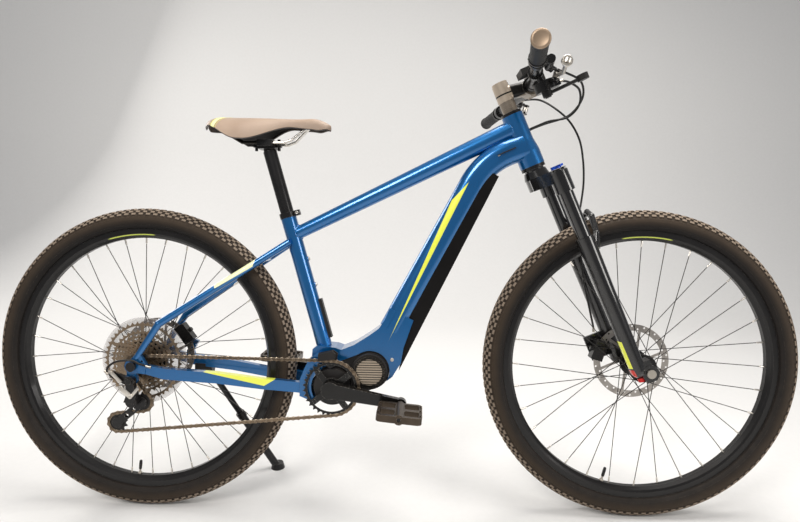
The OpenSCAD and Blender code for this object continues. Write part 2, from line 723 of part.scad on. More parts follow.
module spokes(n, flange_r, y_in, y_out, rim_y) {
  h = n / 2;
  r = bead_r - rim_depth - 0.1;
  for (k = [0, 1], i = [0:h - 1]) {
    d = i % 2 == 0 ? 1 : -1;
    a = (i + k / 2) * 360 / h;
    b = a + d * 3 * 360 / h;
    fy = k == 0 ? y_in : y_out;
    out = (k == 0 ? -d : d) > 0 ? flange_out : 0.05;
    o = d * (1.6 + spoke_d / 2 + out);
    p = [flange_r * cos(a), fy + o, flange_r * sin(a)];
    q = [r * cos(b), (k == 0 ? -rim_y : rim_y), r * sin(b)];
    u = unit(q - p);
    rod(p, q - u * 3, spoke_d, $fn = 16);
    rod(q - u * 13, q, 4, $fn = 16);
    turn_y(p.x, p.z, fy - 1.6 - (d < 0 ? out : 0) - spoke_d, fy + 1.6 + (d > 0 ? out : 0) + spoke_d, spoke_d + 0.2,
      $fn = 16);
    turn_y(p.x, p.z, fy - d * 2.2 - 0.55, fy - d * 2.2 + 0.55, 3.2, $fn = 16);
  }
}
module hub(flange_r, y_in, y_out, left, right, bore, holes, shell) {
  difference() {
    union() {
      turn_y(0, 0, y_in, y_out, shell);
      for (y = [y_in, y_out]) {
        turn_y(0, 0, y - 1.6, y + 1.6, 2 * flange_r + 7);
        turn_y(0, 0, y - 4, y + 4, 2 * flange_r - 14);
      }
      turn_y(0, 0, right, y_in, shell - 4);
      turn_y(0, 0, y_out, left, 26);
    }
    turn_y(0, 0, -100, 100, bore);
    for (k = [0, 1], i = [0:holes / 2 - 1]) {
      a = (i + k / 2) * 720 / holes;
      fy = k == 0 ? y_in : y_out;
      turn_y(flange_r * cos(a), flange_r * sin(a), fy - 3, fy + 3, spoke_d + 0.4, $fn = 16);
    }
  }
}
module disc(y) {
  r = disc_d / 2;
  side(y - disc_t / 2, y + disc_t / 2) difference() {
    union() {
      difference() {
        circle(r = r);
        circle(r = r - 16);
      }
      for (i = [0:5]) {
        rotate(60 * i) translate([18, -7]) rotate(24) square([r - 26, 6]);
      }
      circle(r = 27);
    }
    circle(r = 17);
    for (i = [0:35]) {
      rotate(10 * i) translate([r - 8 + 3.5 * (i % 2 * 2 - 1), 0]) circle(r = 2.4, $fn = 16);
    }
  }
}
module at_front() {
  translate([wheelbase, 0, 0]) children();
}
rf = 29;
rear_in = -17;
rear_out = 34;
front_in = -33;
front_out = 25;
front_disc_y = 39.6;
module rear_tyre() {
  color([0.14, 0.10, 0.07]) park() turned() tyre_cut();
}
module rear_rim() {
  color([0.03, 0.03, 0.03]) park() turned() rim_cut();
}
module rear_spokes() {
  color([0.3, 0.3, 0.3]) park() spokes(rear_spokes_n, rf, rear_in, rear_out, 2);
}
module rear_hub() {
  color([0.05, 0.05, 0.05]) park() {
    hub(rf, rear_in, rear_out, disc_y - disc_t / 2 - weld, -24, rear_axle_d + 2 * fit, rear_spokes_n, 34);
    // hub end and lock ring that hold the disc
    difference() {
      turn_y(0, 0, disc_y + disc_t / 2 + weld, end_in - 0.5, 20);
      turn_y(0, 0, 0, 100, rear_axle_d + 2 * fit);
    }
    difference() {
      union() {
        turn_y(0, 0, disc_y - disc_t / 2, disc_y + disc_t / 2 + 4, 33.6);
        turn_y(0, 0, disc_y + disc_t / 2 + weld, disc_y + disc_t / 2 + 4, 44);
      }
      turn_y(0, 0, 0, 100, 20 + 2 * weld);
    }
    // clear spoke guard, clipped against the hub
    difference() {
      union() {
        turn_y(0, 0, -23.4, -21.6, 208);
        turn_y(0, 0, -21.7, rear_in - 1.6 - weld, 50);
      }
      turn_y(0, 0, -30, 0, 40);
    }
  }
}
module rear_disc() {
  color([0.5, 0.45, 0.38]) park() disc(disc_y);
}
module front_tyre() {
  color([0.14, 0.10, 0.07]) park() at_front() turned() tyre_cut();
}
module front_rim() {
  color([0.03, 0.03, 0.03]) park() at_front() turned() rim_cut();
}
module front_spokes() {
  color([0.3, 0.3, 0.3]) park() at_front() spokes(front_spokes_n, rf, front_in, front_out, 2);
}
module front_hub() {
  color([0.05, 0.05, 0.05]) park() at_front() {
    hub(rf, front_in, front_out, front_disc_y - disc_t / 2 - weld, gap - front_hub_w / 2,
      front_axle_d + 2 * fit, front_spokes_n, 30);
    difference() {
      turn_y(0, 0, front_disc_y + disc_t / 2 + weld, front_hub_w / 2 - gap, 22);
      turn_y(0, 0, 0, 100, front_axle_d + 2 * fit);
    }
    difference() {
      union() {
        turn_y(0, 0, front_disc_y - disc_t / 2, front_disc_y + disc_t / 2 + 4, 33.6);
        turn_y(0, 0, front_disc_y + disc_t / 2 + weld, front_disc_y + disc_t / 2 + 4, 44);
      }
      turn_y(0, 0, 0, 100, 22 + 2 * weld);
    }
  }
}
module front_disc() {
  color([0.5, 0.45, 0.38]) park() at_front() disc(front_disc_y);
}

// cranks and pedals
crank_c = [bb_x, -bb_drop];
crank_in = 64;
crank_out = 78;
function crank_end(s) = crank_c + s * crank_length * [cos(crank_angle), -sin(crank_angle)];
module crank_arm(s) {
  e = crank_end(s);
  u = [cos(crank_angle), -sin(crank_angle)] * s;
  n = [-u[1], u[0]];
  y = s > 0 ? -crank_out : crank_in;
  side(y, y + crank_out - crank_in) {
    circle_at(crank_c[0], crank_c[1], 20);
    circle_at(e[0], e[1], 13.5);
    polygon([crank_c + n * 17 + u * 5, e + n * 11.5 - u * 6, e - n * 11.5 - u * 6, crank_c - n * 17 + u * 5]);
  }
  turn_y(e[0], e[1], s > 0 ? -crank_out - 6 : crank_out - 1, s > 0 ? -crank_out + 1 : crank_out + 6, 14);
  turn_y(e[0], e[1], s > 0 ? -pedal_end : crank_out, s > 0 ? -crank_out : pedal_end, 9);
}
pedal_w = 92;
pedal_l = 98;
pedal_h = 15;
pedal_in = crank_out + 8;
pedal_end = pedal_in + pedal_w - 4;
module cranks() {
  color([0.03, 0.03, 0.03]) park() {
    crank_arm(1);
    crank_arm(-1);
    turn_y(crank_c[0], crank_c[1], -crank_in - 1, crank_in + 1, spindle_d);
    for (s = [-1, 1]) {
      turn_y(crank_c[0], crank_c[1], s > 0 ? 50.4 : -crank_in - 1, s > 0 ? crank_in + 1 : -50.4, 34);
    }
    side(-ring_y - 0.85, -ring_y + 0.85) translate(crank_c) difference() {
      teeth(ring_teeth, ring_phase);
      difference() {
        circle(r = ring_r - 9);
        circle(r = 22);
        for (k = [0:3]) {
          rotate(90 * k + 38) translate([0, -7]) square([60, 14]);
        }
      }
    }
    side(-ring_y - 4, -ring_y - 0.8) translate(crank_c) {
      circle(r = 24);
      for (k = [0:3]) {
        rotate(90 * k + 38) translate([0, -7]) square([ring_r - 11, 14]);
      }
    }
    for (k = [0:3]) {
      b = crank_c + (ring_r - 16) * [cos(90 * k + 38), sin(90 * k + 38)];
      turn_y(b[0], b[1], -ring_y - 5.5, -ring_y + 2, 9);
    }
  }
}
module pedal_body() {
  difference() {
    union() {
      translate([0, 0, -pedal_h / 2]) linear_extrude(pedal_h) difference() {
        rrect(pedal_l, pedal_w, 12);
        for (sx = [-1, 1], sy = [-1, 1]) {
          translate([sx * 26, sy * 21.5]) rrect(32, 31, 5);
        }
      }
      for (sx = [-1, 1], sy = [-1, 0, 1], sz = [0, 1]) {
        translate([sx * (pedal_l / 2 - 4), sy * 30, sz ? pedal_h / 2 - 0.2 : -pedal_h / 2 - 2.8])
          cylinder(h = 3, d = 3.4, $fn = 12);
      }
      rotate([90, 0, 0]) cylinder(h = pedal_w - 1, d = 22, center = true);
    }
    rotate([90, 0, 0]) cylinder(h = pedal_w + 20, d = 9 + 2 * fit, center = true);
  }
}
pedal_tilt = 5.5;
module right_pedal() {
  e = crank_end(1);
  color([0.12, 0.11, 0.10]) park() translate([e[0], -pedal_in - pedal_w / 2, e[1]])
    rotate([0, pedal_tilt, 0]) pedal_body();
}
module left_pedal() {
  e = crank_end(-1);
  color([0.12, 0.11, 0.10]) park() translate([e[0], pedal_in + pedal_w / 2, e[1]])
    rotate([0, pedal_tilt, 0]) pedal_body();
}

// gear mech
module derailleur() {
  color([0.35, 0.34, 0.33]) park() {
    difference() {
      union() {
        turn_y(-0.5, -32, -96, -end_out - weld, 22);
        // arm that takes the cable
        side(-94, -88) polygon([[-2, -23], [-44, -6], [-50, -14], [-46, -22], [-10, -40]]);
        // two links and the lower knuckle
        side(-98, -84) polygon([[-9, -36], [9, -36], [16, -62], [10, -84], [-14, -80], [-6, -60]]);
        turn_y(cage_c[0], cage_c[1], -96, -cog_y - 5.4, 26);
      }
      side(-91.5, -60) polygon([[-6, -44], [6, -44], [9, -60], [-1, -60]]);
      turn_y(-0.5, -32, -100, -end_out + 1, 10);
      turn_y(cage_c[0], cage_c[1], -90, -40, 8 + 2 * fit);
    }
    turn_y(-0.5, -32, -98, -end_in - 1, 10 - 2 * weld);
    turn_y(-0.5, -32, -99, -96 - weld, 13);
  }
}
cage_o = -cog_y - 5.0;
cage_i = -cog_y + 3.4;
module cage_side() {
  g = guide_c(cage_a);
  t = tens_c(cage_a);
  c = cage_c;
  u = unit(t - g);
  n = [-u[1], u[0]];
  difference() {
    union() {
      circle_at(g[0], g[1], 11);
      circle_at(t[0], t[1], 12);
      polygon([g + n * 9, t + n * 9, t - n * 9, g - n * 9]);
    }
    for (k = [0, 1]) {
      m = g + (t - g) * (0.36 + 0.27 * k);
      circle_at(m[0], m[1], 5);
    }
  }
}
module jockey_cage() {
  g = guide_c(cage_a);
  t = tens_c(cage_a);
  color([0.08, 0.08, 0.08]) park() {
    side(cage_o, cage_o + 1.6) {
      cage_side();
      difference() {
        circle_at(cage_c[0], cage_c[1], 13);
        circle_at(cage_c[0], cage_c[1], 4);
      }
    }
    side(cage_i, cage_i + 1.6) cage_side();
    turn_y(cage_c[0], cage_c[1], -89, cage_o + 1.6, 8);
    for (p = [g, t]) {
      turn_y(p[0], p[1], cage_o, cage_i + 1.6, 5);
      turn_y(p[0], p[1], cage_i + 1.6, cage_i + 3.2, 9);
    }
  }
}
module jockey(c, phase) {
  difference() {
    union() {
      side(-cog_y - 0.85, -cog_y + 0.85) translate(c) teeth(jockey_teeth, phase, 1.8);
      turn_y(c[0], c[1], -cog_y - 2.7, -cog_y + 2.7, 15);
    }
    turn_y(c[0], c[1], -100, 0, 5 + 2 * fit);
  }
}
module jockey_wheels_upper() {
  color([0.05, 0.05, 0.05]) park() jockey(guide_c(cage_a), guide_phase);
}
module jockey_wheels_lower() {
  color([0.05, 0.05, 0.05]) park() jockey(tens_c(cage_a), tens_phase);
}
module shift_housing() {
  color([0.02, 0.02, 0.02]) park()
    hose([[44, -81, -2], [20, -86.6, 7], [5, -90.5, 15.5], [-14, -93, 16], [-34, -94, 12], [-50, -93, 0], [-54, -91.5, -12],
      [-51, -91.2, -17]], 5);
}

// side stand
stand_z = pivot_z - 4;
foot_z = (stand_foot_y * sin(lean) - ground) / cos(lean);
foot_x = stand_x + tan(stand_rake) * (stand_z - foot_z);
module stand_leg() {
  hip = [stand_x, 90.5, stand_z];
  foot = [foot_x, stand_foot_y, foot_z];
  u = unit(foot - hip);
  l = norm(foot - hip);
  color([0.04, 0.04, 0.04]) park() {
    turn_y(stand_x, stand_z, 82.4, 98, 27);
    turn_y(stand_x, stand_z, 66, 90, 10);
    difference() {
      union() {
        rod(hip, hip + u * (l - 12), stand_d);
        rod(hip + u * l * 0.45, hip + u * (l - 12), stand_d + 5);
        rod(hip + u * l * 0.43, hip + u * (l * 0.43 + 16), stand_d + 9);
        translate(foot) rotate([lean, 0, 0]) cylinder(h = 15, d1 = 38, d2 = 30);
      }
      translate(foot) rotate([lean, 0, 0]) translate([-100, -100, -40]) cube([200, 200, 40]);
      turn_y(stand_x, stand_z, 60, 82.3, 80);
    }
  }
}

// seat
post_in = 150;
clamp_t = saddle_height - 54;
module seatpost() {
  color([0.03, 0.03, 0.035]) park() {
    seat() {
      difference() {
        translate([0, 0, seat_tube_length - post_in]) cylinder(h = clamp_t - 18 - seat_tube_length + post_in, d = seatpost_d);
        translate([0, 0, 0]) cylinder(h = clamp_t - 40, d = seatpost_d - 5);
      }
      translate([0, 0, clamp_t - 22]) cylinder(h = 12, d1 = seatpost_d, d2 = 26);
    }
    c = st(0, 0, clamp_t);
    difference() {
      union() {
        translate([c.x - 20, -19, c.z - 13]) cube([40, 38, 14]);
        translate([c.x - 18, -29, c.z - 8]) cube([36, 58, 15]);
        for (x = [-27, 27]) {
          translate([c.x + x, 0, c.z - 17]) cylinder(h = 27, d = 7);
          translate([c.x + x - sign(x) * 9 - 5, -6, c.z - 9]) cube([10, 12, 10]);
          translate([c.x + x - 6, -6, c.z - 9]) cube([12, 12, 8]);
        }
      }
      for (s = [-1, 1]) {
        rod([c.x - 60, s * 22, c.z], [c.x + 60, s * 22, c.z], rail_d + 2 * weld);
      }
    }
  }
}
// saddle outline: position along it from tail to nose, 0 to 1
sad = let(c = st(0, 0, clamp_t)) [c.x - saddle_length * 0.486, c.z];
sad_top = st(0, 0, saddle_height).z + 6;
function ease(a, b, v) = let(t = min(max((v - a) / (b - a), 0), 1)) t * t * (3 - 2 * t);
function sad_w(v) = (saddle_width / 2 + (19.5 - saddle_width / 2) * ease(0.26, 0.74, v))
  * sqrt(1 - pow(1 - min(v / 0.24 + 0.02, 1), 2.6)) * sqrt(max(1 - pow(max((v - 0.9) / 0.1, 0), 2) * 0.93, 0.02));
function sad_z(v) = sad_top - 9 * pow(1 - min(v / 0.16, 1), 2) - 15 * pow(max((v - 0.84) / 0.16, 0), 2);
function sad_edge(v) = sad_z(v) - 13 - 41 * ease(0, 0.3, v) * (1 - ease(0.34, 0.72, v)) - 14 * ease(0.4, 0.9, v) * (1 - ease(0.9, 1, v));
module saddle_skin(top, low, inset, v0, v1) {
  nv = 28;
  nu = 12;
  pts = [for (i = [0:nv]) let(v = v0 + (v1 - v0) * i / nv, w = sad_w(v) - inset, x = sad[0] + saddle_length * v)
    each concat(
      [for (j = [0:nu]) let(a = 180 * j / nu, c = cos(a), k = pow(abs(c), 3.2))
        [x, -w * c, (sad_z(v) - top) * (1 - k) + (sad_edge(v) + low) * k]],
      [for (j = [0:nu]) let(a = 180 * (1 - j / nu), c = cos(a), k = pow(abs(c), 3.2))
        [x, -(w - 2.5) * c, ((sad_z(v) - top - 8) * (1 - k) + (sad_edge(v) + low) * k)]])];
  m = 2 * (nu + 1);
  faces = concat([[for (j = [0:m - 1]) j]], [[for (j = [0:m - 1]) nv * m + m - 1 - j]],
    [for (i = [0:nv - 1], j = [0:m - 1]) each [
      [i * m + j, (i + 1) * m + j, (i + 1) * m + (j + 1) % m],
      [i * m + j, (i + 1) * m + (j + 1) % m, i * m + (j + 1) % m]]]);
  polyhedron(points = pts, faces = faces, convexity = 8);
}
module saddle_cover() {
  color([0.62, 0.46, 0.32]) park() saddle_skin(0, 0, 0, 0.003, 0.996);
}
module saddle_base() {
  color([0.03, 0.03, 0.03]) park() saddle_skin(8.6, 2.5, 7, 0.07, 0.95);
}
module saddle_rails() {
  color([0.5, 0.47, 0.42]) park() {
    z = sad[1];
    for (s = [-1, 1]) {
      pts = [[sad[0] + saddle_length * 0.19, s * 26, sad_top - 19.6],
        [sad[0] + saddle_length * 0.22, s * 25, z + 14],
        [sad[0] + saddle_length * 0.30, s * 22, z], [sad[0] + saddle_length * 0.64, s * 22, z],
        [sad[0] + saddle_length * 0.70, s * 20, z + 6],
        [sad[0] + saddle_length * 0.82, s * 8, sad_top - 22.1]];
      for (i = [0:4]) {
        rod(pts[i], pts[i + 1], rail_d);
        if (i < 4) ball(pts[i + 1], rail_d + 0.3);
      }
    }
  }
}

// cockpit
bar_b = [bar_f - 9, 100, bar_t + 2];
bar_e = [bar_end_f, bar_half, bar_end_t];
bar_u = unit(bar_b - bar_e);
function bar_at(s, k, f = 0, t = 0) = let(p = bar_e + bar_u * s + [f, 0, t]) [p.x, k * p.y, p.z];
module handlebar() {
  color([0.03, 0.03, 0.03]) park() steer() {
    rod([bar_f, -44, bar_t], [bar_f, 44, bar_t], bar_clamp_d);
    for (k = [-1, 1]) {
      m = [1, k, 1];
      rod(mul(bar_b + bar_u * 60, m), mul(bar_b, m), bar_clamp_d - 1, bar_d + 0.3);
      rod(mul(bar_b + bar_u * 40, m), mul(bar_e, m), bar_d);
    }
  }
}
module grip(k) {
  difference() {
    union() {
      rod(bar_at(-2.5, k), bar_at(grip_length, k), grip_d);
      rod(bar_at(-2.5, k), bar_at(3, k), grip_d + 3);
      rod(bar_at(grip_length - 6, k), bar_at(grip_length, k), grip_d + 4);
    }
    rod(bar_at(-0.05, k), bar_at(grip_length + 9, k), bar_d + 2 * weld);
  }
}
module grips() {
  color([0.05, 0.05, 0.05]) park() steer() {
    grip(-1);
    grip(1);
  }
}
module stem() {
  color([0.05, 0.05, 0.05]) park() steer() difference() {
    union() {
      translate([0, 0, stem_t - 20]) cylinder(h = 40, d = 38);
      for (i = [0:2]) {
        translate([0, 0, head_high + 7.4 + i * 9.1]) cylinder(h = 9, d = 36);
      }
      box_tube([4, 0, stem_t - 1], [bar_f - 6, 0, bar_t + 1], 30, 31, 9);
      translate([bar_f, 23, bar_t]) rotate([90, 0, 0]) cylinder(h = 46, d = bar_clamp_d + 9);
      for (t = [-1, 1], y = [-1, 1]) {
        translate([bar_f - 8, y * 15, bar_t + t * 18]) rotate([0, 90, 0]) cylinder(h = 23, d = 8);
      }
      translate([0, 0, stem_t + 20.1]) cylinder(h = 5, d = 36);
      translate([0, 0, stem_t + 25]) cylinder(h = 1.5, d = 14);
    }
    translate([0, 0, stem_t - 60]) cylinder(h = 78.5, d = steerer_d + 2 * weld);
    rod([bar_f, -44, bar_t], [bar_f, 44, bar_t], bar_clamp_d + 2 * weld);
    translate([bar_f + 2, -40, bar_t - 16]) cube([1.2, 80, 32]);
    translate([-30, -1, stem_t - 21]) cube([20, 2, 41]);
  }
}
lever_s = 216;
lever_c = [33, 0, -27];
function lever_pivot(k) = bar_at(lever_s, k, 33, -27);
function lever_tip(k) = bar_at(lever_s - 118, k, 43, -31);
module brake_body(k) {
  difference() {
    union() {
      rod(bar_at(grip_length + 10, k), bar_at(grip_length + 24, k), 34);
      rod(bar_at(grip_length + 17, k, 3, -3), bar_at(grip_length + 17, k, 22, -8), 13);
      rod(bar_at(grip_length + 10, k, 24, -8), bar_at(grip_length + 96, k, 26, -4), 17);
      rod(bar_at(lever_s - 8, k, 25, -8), bar_at(lever_s, k, 33, -16), 14);
      rod(bar_at(grip_length + 93, k, 26, -4), bar_at(grip_length + 106, k, 27, -4), 9);
    }
    rod(bar_at(grip_length, k), bar_at(grip_length + 120, k), bar_d + 2 * weld);
    lever_slot(k);
  }
}
lever_n = unit([27, 0, 33]);
module lever_slot(k) {
  p = lever_pivot(k);
  rod(p - lever_n * 9, p + lever_n * 9, 26);
}
module brake_bodies() {
  color([0.04, 0.04, 0.04]) park() steer() {
    for (k = [-1, 1]) {
      brake_body(k);
      lever_fork(k);
    }
  }
}
module lever_fork(k) {
  p = lever_pivot(k);
  rod(p - lever_n * 12, p + lever_n * 9, 5);
  rod(p + lever_n * 9, p + lever_n * 12, 15);
  rod(p - lever_n * 12, p - lever_n * 9, 15);
}
module brake_lever(k) {
  p = lever_pivot(k);
  q = lever_tip(k);
  m = p + (q - p) * 0.3 + [6, 0, -5];
  difference() {
    union() {
      rod(p - lever_n * 5, p + lever_n * 5, 14);
      rod(p + unit(m - p) * 2, m, 8);
      ball(m, 8.5);
      rod(m, q, 8);
      rod(q - lever_n * 4, q + lever_n * 4, 16);
    }
    rod(p - lever_n * 12, p + lever_n * 12, 5 + 2 * fit);
    rod(q - lever_n * 12, q + lever_n * 12, 6);
  }
}
module right_brake_lever() {
  color([0.75, 0.72, 0.66]) park() steer() brake_lever(-1);
}
module left_brake_lever() {
  color([0.75, 0.72, 0.66]) park() steer() brake_lever(1);
}
shift_p = bar_at(240, -1, 6, -50);
module shifter() {
  color([0.03, 0.03, 0.03]) park() steer() difference() {
    union() {
      rod(bar_at(234, -1), bar_at(245, -1), 31);
      rod(bar_at(239, -1, 2, -12), bar_at(239, -1, 5, -26), 12);
      translate(shift_p + [0, 0, 6]) cylinder(h = 20, d = 42);
      translate(shift_p + [-4, 0, 8]) cube([38, 27, 16]);
      translate(shift_p + [0, 0, -6]) cylinder(h = 12.5, d = 7);
      translate(shift_p + [0, 0, -8]) cylinder(h = 2, d = 13);
    }
    rod(bar_at(230, -1), bar_at(250, -1), bar_d + 2 * weld);
  }
}
module shift_lever() {
  color([0.05, 0.05, 0.05]) park() steer() translate(shift_p) difference() {
    union() {
      translate([0, 0, -5.6]) cylinder(h = 11, d = 20);
      rotate([0, 0, -14]) translate([0, -6, -3]) cube([66, 12, 6]);
      rotate([0, 0, -14]) translate([74, 0, -5]) cylinder(h = 12, d = 24);
    }
    translate([0, 0, -10]) cylinder(h = 20, d = 7 + 2 * fit);
  }
}
module display() {
  color([0.03, 0.03, 0.035]) park() steer() difference() {
    union() {
      translate([bar_f - 30, -98, bar_t + 17]) cube([46, 52, 13]);
      translate([bar_f - 14, -92, bar_t - 16]) cube([28, 13, 36]);
    }
    rod(mul(bar_b + bar_u * 60, [1, -1, 1]), mul(bar_b, [1, -1, 1]), bar_clamp_d - 1 + 2 * weld,
      bar_d + 0.3 + 2 * weld);
    rod([bar_f, -44, bar_t], [bar_f, 0, bar_t], bar_clamp_d + 2 * weld);
  }
}

// fork
leg_y = leg_spacing / 2;
lower_top = axle_to_crown - 78 - fork_travel - 1;
module fork_crown() {
  color([0.03, 0.03, 0.035]) park() steer() {
    difference() {
      union() {
        translate([0, 0, axle_to_crown - 44]) linear_extrude(28) {
          translate([2, 0]) circle(r = 30);
          polygon([[-24, -26], [-24, 26], [leg_offset - 18, leg_y + 12], [leg_offset + 21, leg_y], [30, 22],
            [30, -22], [leg_offset + 21, -leg_y], [leg_offset - 18, -leg_y - 12]]);
        }
        for (k = [-1, 1]) {
          translate([leg_offset, k * leg_y, axle_to_crown - 70]) cylinder(h = 48, d = stanchion_d + 12);
        }
        translate([0, 0, axle_to_crown - 17]) cylinder(h = 17, d1 = 60, d2 = 52);
        translate([0, 0, axle_to_crown - 1]) cylinder(h = 5 - gap, d = 46);
        translate([0, 0, axle_to_crown]) cylinder(h = 20, d = 38.1);
        translate([0, 0, axle_to_crown]) cylinder(h = stem_t + 17 - axle_to_crown, d = steerer_d);
      }
      for (k = [-1, 1]) {
        translate([leg_offset, k * leg_y, axle_to_crown - 80])
          cylinder(h = 90, d = stanchion_d + 2 * weld);
      }
    }
  }
}
stan_low = 150;
module stanchions() {
  color([0.10, 0.08, 0.06]) park() steer() {
    for (k = [-1, 1]) {
      translate([leg_offset, k * leg_y, stan_low]) cylinder(h = axle_to_crown - 20 - stan_low, d = stanchion_d);
      translate([leg_offset, k * leg_y, axle_to_crown - 21]) cylinder(h = 5, d = stanchion_d - 6);
    }
  }
}
module lockout_lever() {
  color([0.05, 0.25, 0.75]) park() steer() translate([leg_offset, -leg_y, axle_to_crown - 15.6]) {
    cylinder(h = 7, d = 23);
    rotate([0, 0, -60]) translate([0, -4.5, 2]) cube([19, 9, 5]);
  }
}
module fork_lowers() {
  color([0.02, 0.02, 0.02]) park() steer() difference() {
    union() {
      for (k = [-1, 1]) {
        translate([leg_offset, k * leg_y, 14]) cylinder(h = lower_top - 22, d1 = 35, d2 = 41);
        translate([leg_offset, k * leg_y, lower_top - 9]) cylinder(h = 9, d = stanchion_d + 9);
        translate([leg_offset, k * leg_y, 14]) sphere(d = 35);
        translate([leg_offset + 5, k > 0 ? front_hub_w / 2 : -leg_y - 13, -19])
          cube([24, leg_y + 13 - front_hub_w / 2, 50]);
        translate([fork_offset, k > 0 ? leg_y + 14 : -front_hub_w / 2, 0]) rotate([90, 0, 0])
          cylinder(h = leg_y + 14 - front_hub_w / 2, d = 38);
        a = [leg_offset + 17, k * (leg_y - 4), lower_top - 34];
        b = [fork_offset + 13, k * 51, lower_top - 4];
        c = [fork_offset + 23, k * 28, lower_top + 33];
        d = [fork_offset + 25, 0, lower_top + 43];
        rod(a, b, 17, 14);
        ball(b, 14.6);
        rod(b, c, 14);
        ball(c, 14.6);
        rod(c, d, 14);
        if (k > 0) ball(d, 14.6);
      }
      // caliper posts on the left leg
      translate([-32, leg_y - 14, 30]) cube([62, 6, 62]);
    }
    for (k = [-1, 1]) {
      translate([leg_offset, k * leg_y, 44]) cylinder(h = 600, d = stanchion_d + 2 * fit);
      translate([leg_offset, k * leg_y, -30]) cylinder(h = 60, d = 10.1);
    }
    translate([fork_offset, 200, 0]) rotate([90, 0, 0]) cylinder(h = 400, d = front_axle_d + 2 * weld);
    translate([fork_offset, front_hub_w / 2, 0]) rotate([90, 0, 0]) cylinder(h = front_hub_w, d = 46);
    translate([leg_offset, -leg_y, -40]) cylinder(h = 36.4, d = knob_d + 0.8);
  }
}
module front_axle() {
  color([0.12, 0.12, 0.12]) park() at_front() {
    turn_y(0, 0, -leg_y - 16, leg_y + 16, front_axle_d);
    turn_y(0, 0, leg_y + 14 + weld, leg_y + 19, 22);
    turn_y(0, 0, -leg_y - 19, -leg_y - 14 - weld, 20);
  }
}
module front_caliper() {
  color([0.05, 0.05, 0.05]) park() steer() difference() {
    translate([fork_offset, 0, 0]) translate([-64, 0, 56]) rotate([0, 0, 0])
      caliper_at(0, 0, -138.8, front_disc_y, leg_y - 14 - weld);
    translate([fork_offset, 200, 0]) rotate([90, 0, 0]) cylinder(h = 400, d = 70);
  }
}
knob_d = 17;
module rebound_knob() {
  color([0.7, 0.05, 0.05]) park() steer() translate([leg_offset, -leg_y, 0]) {
    translate([0, 0, -13]) cylinder(h = 9, d = knob_d);
    translate([0, 0, -6]) cylinder(h = 30, d = 10);
  }
}

// hoses and cables
module front_hose() {
  color([0.30, 0.30, 0.31]) park() steer()
    hose([bar_at(grip_length + 107, 1, 27, -4), bar_at(grip_length + 122, 1, 34, -8),
      [bar_f + 38, 96, bar_t - 24], [118, 76, 640], [136, 66, 596], [141, 62, 546], [131, 62, 496],
      [112, 60, 446], [88, 56, 404], [66, 50, 372], [58, 47.5, 352], [56, 47, 342]], 5);
}
module lower_hose() {
  color([0.05, 0.05, 0.05]) park() steer()
    hose([[56, 47, 341.5], [50, 44, 320], [34, 41.5, 280], [18, 42, 220], [6, 44, 150], [0, 47, 112], [-4, 48, 98]], 5);
}
module cable_run(a, mid, k, f1) {
  hose(concat(a, mid, [[70, k * 14, head_high - 47], [46, k * 11, head_high - 46], [24, k * 10, head_high - 46]]), f1);
}
module frame_cables() {
  color([0.02, 0.02, 0.02]) park() steer() {
    cable_run([bar_at(grip_length + 107, -1, 27, -4), bar_at(grip_length + 122, -1, 36, -6)],
      [[bar_f + 58, -90, bar_t - 14], [bar_f + 94, -52, bar_t - 40], [bar_f + 94, -20, bar_t - 72],
        [118, -6, head_high - 52]], 1, 5);
    cable_run([shift_p + [35, 20, 16], shift_p + [46, 26, 16]],
      [[bar_f + 62, -80, bar_t - 36], [bar_f + 82, -58, bar_t - 56], [bar_f + 76, -38, bar_t - 84],
        [108, -24, head_high - 56]], -1, 5);
  }
}

head_tube();
top_tube();
down_tube();
seat_tube();
right_stays();
left_stays();
battery();
motor_case();
motor_cover();
headset();
seat_collar();
rear_axle();
rear_caliper();
chain_guide();
stand_bracket();
cable_cover();
derailleur();
chain();
shift_housing();
frame_cables();
seatpost();
saddle_rails();
saddle_base();
saddle_cover();
fork_crown();
stanchions();
stem();
handlebar();
shifter();
display();
right_brake_lever();
left_brake_lever();
shift_lever();
lockout_lever();
fork_lowers();
front_axle();
front_caliper();
front_hose();
lower_hose();
rebound_knob();
front_tyre();
front_rim();
front_spokes();
front_hub();
front_disc();
rear_tyre();
rear_rim();
rear_spokes();
rear_hub();
rear_disc();
cassette();
cranks();
right_pedal();
left_pedal();
jockey_cage();
jockey_wheels_upper();
jockey_wheels_lower();
stand_leg();
grips();
brake_bodies();
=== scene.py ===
import json
import math
import random

import bmesh
import bpy
from mathutils import Matrix, Vector
from mathutils.bvhtree import BVHTree


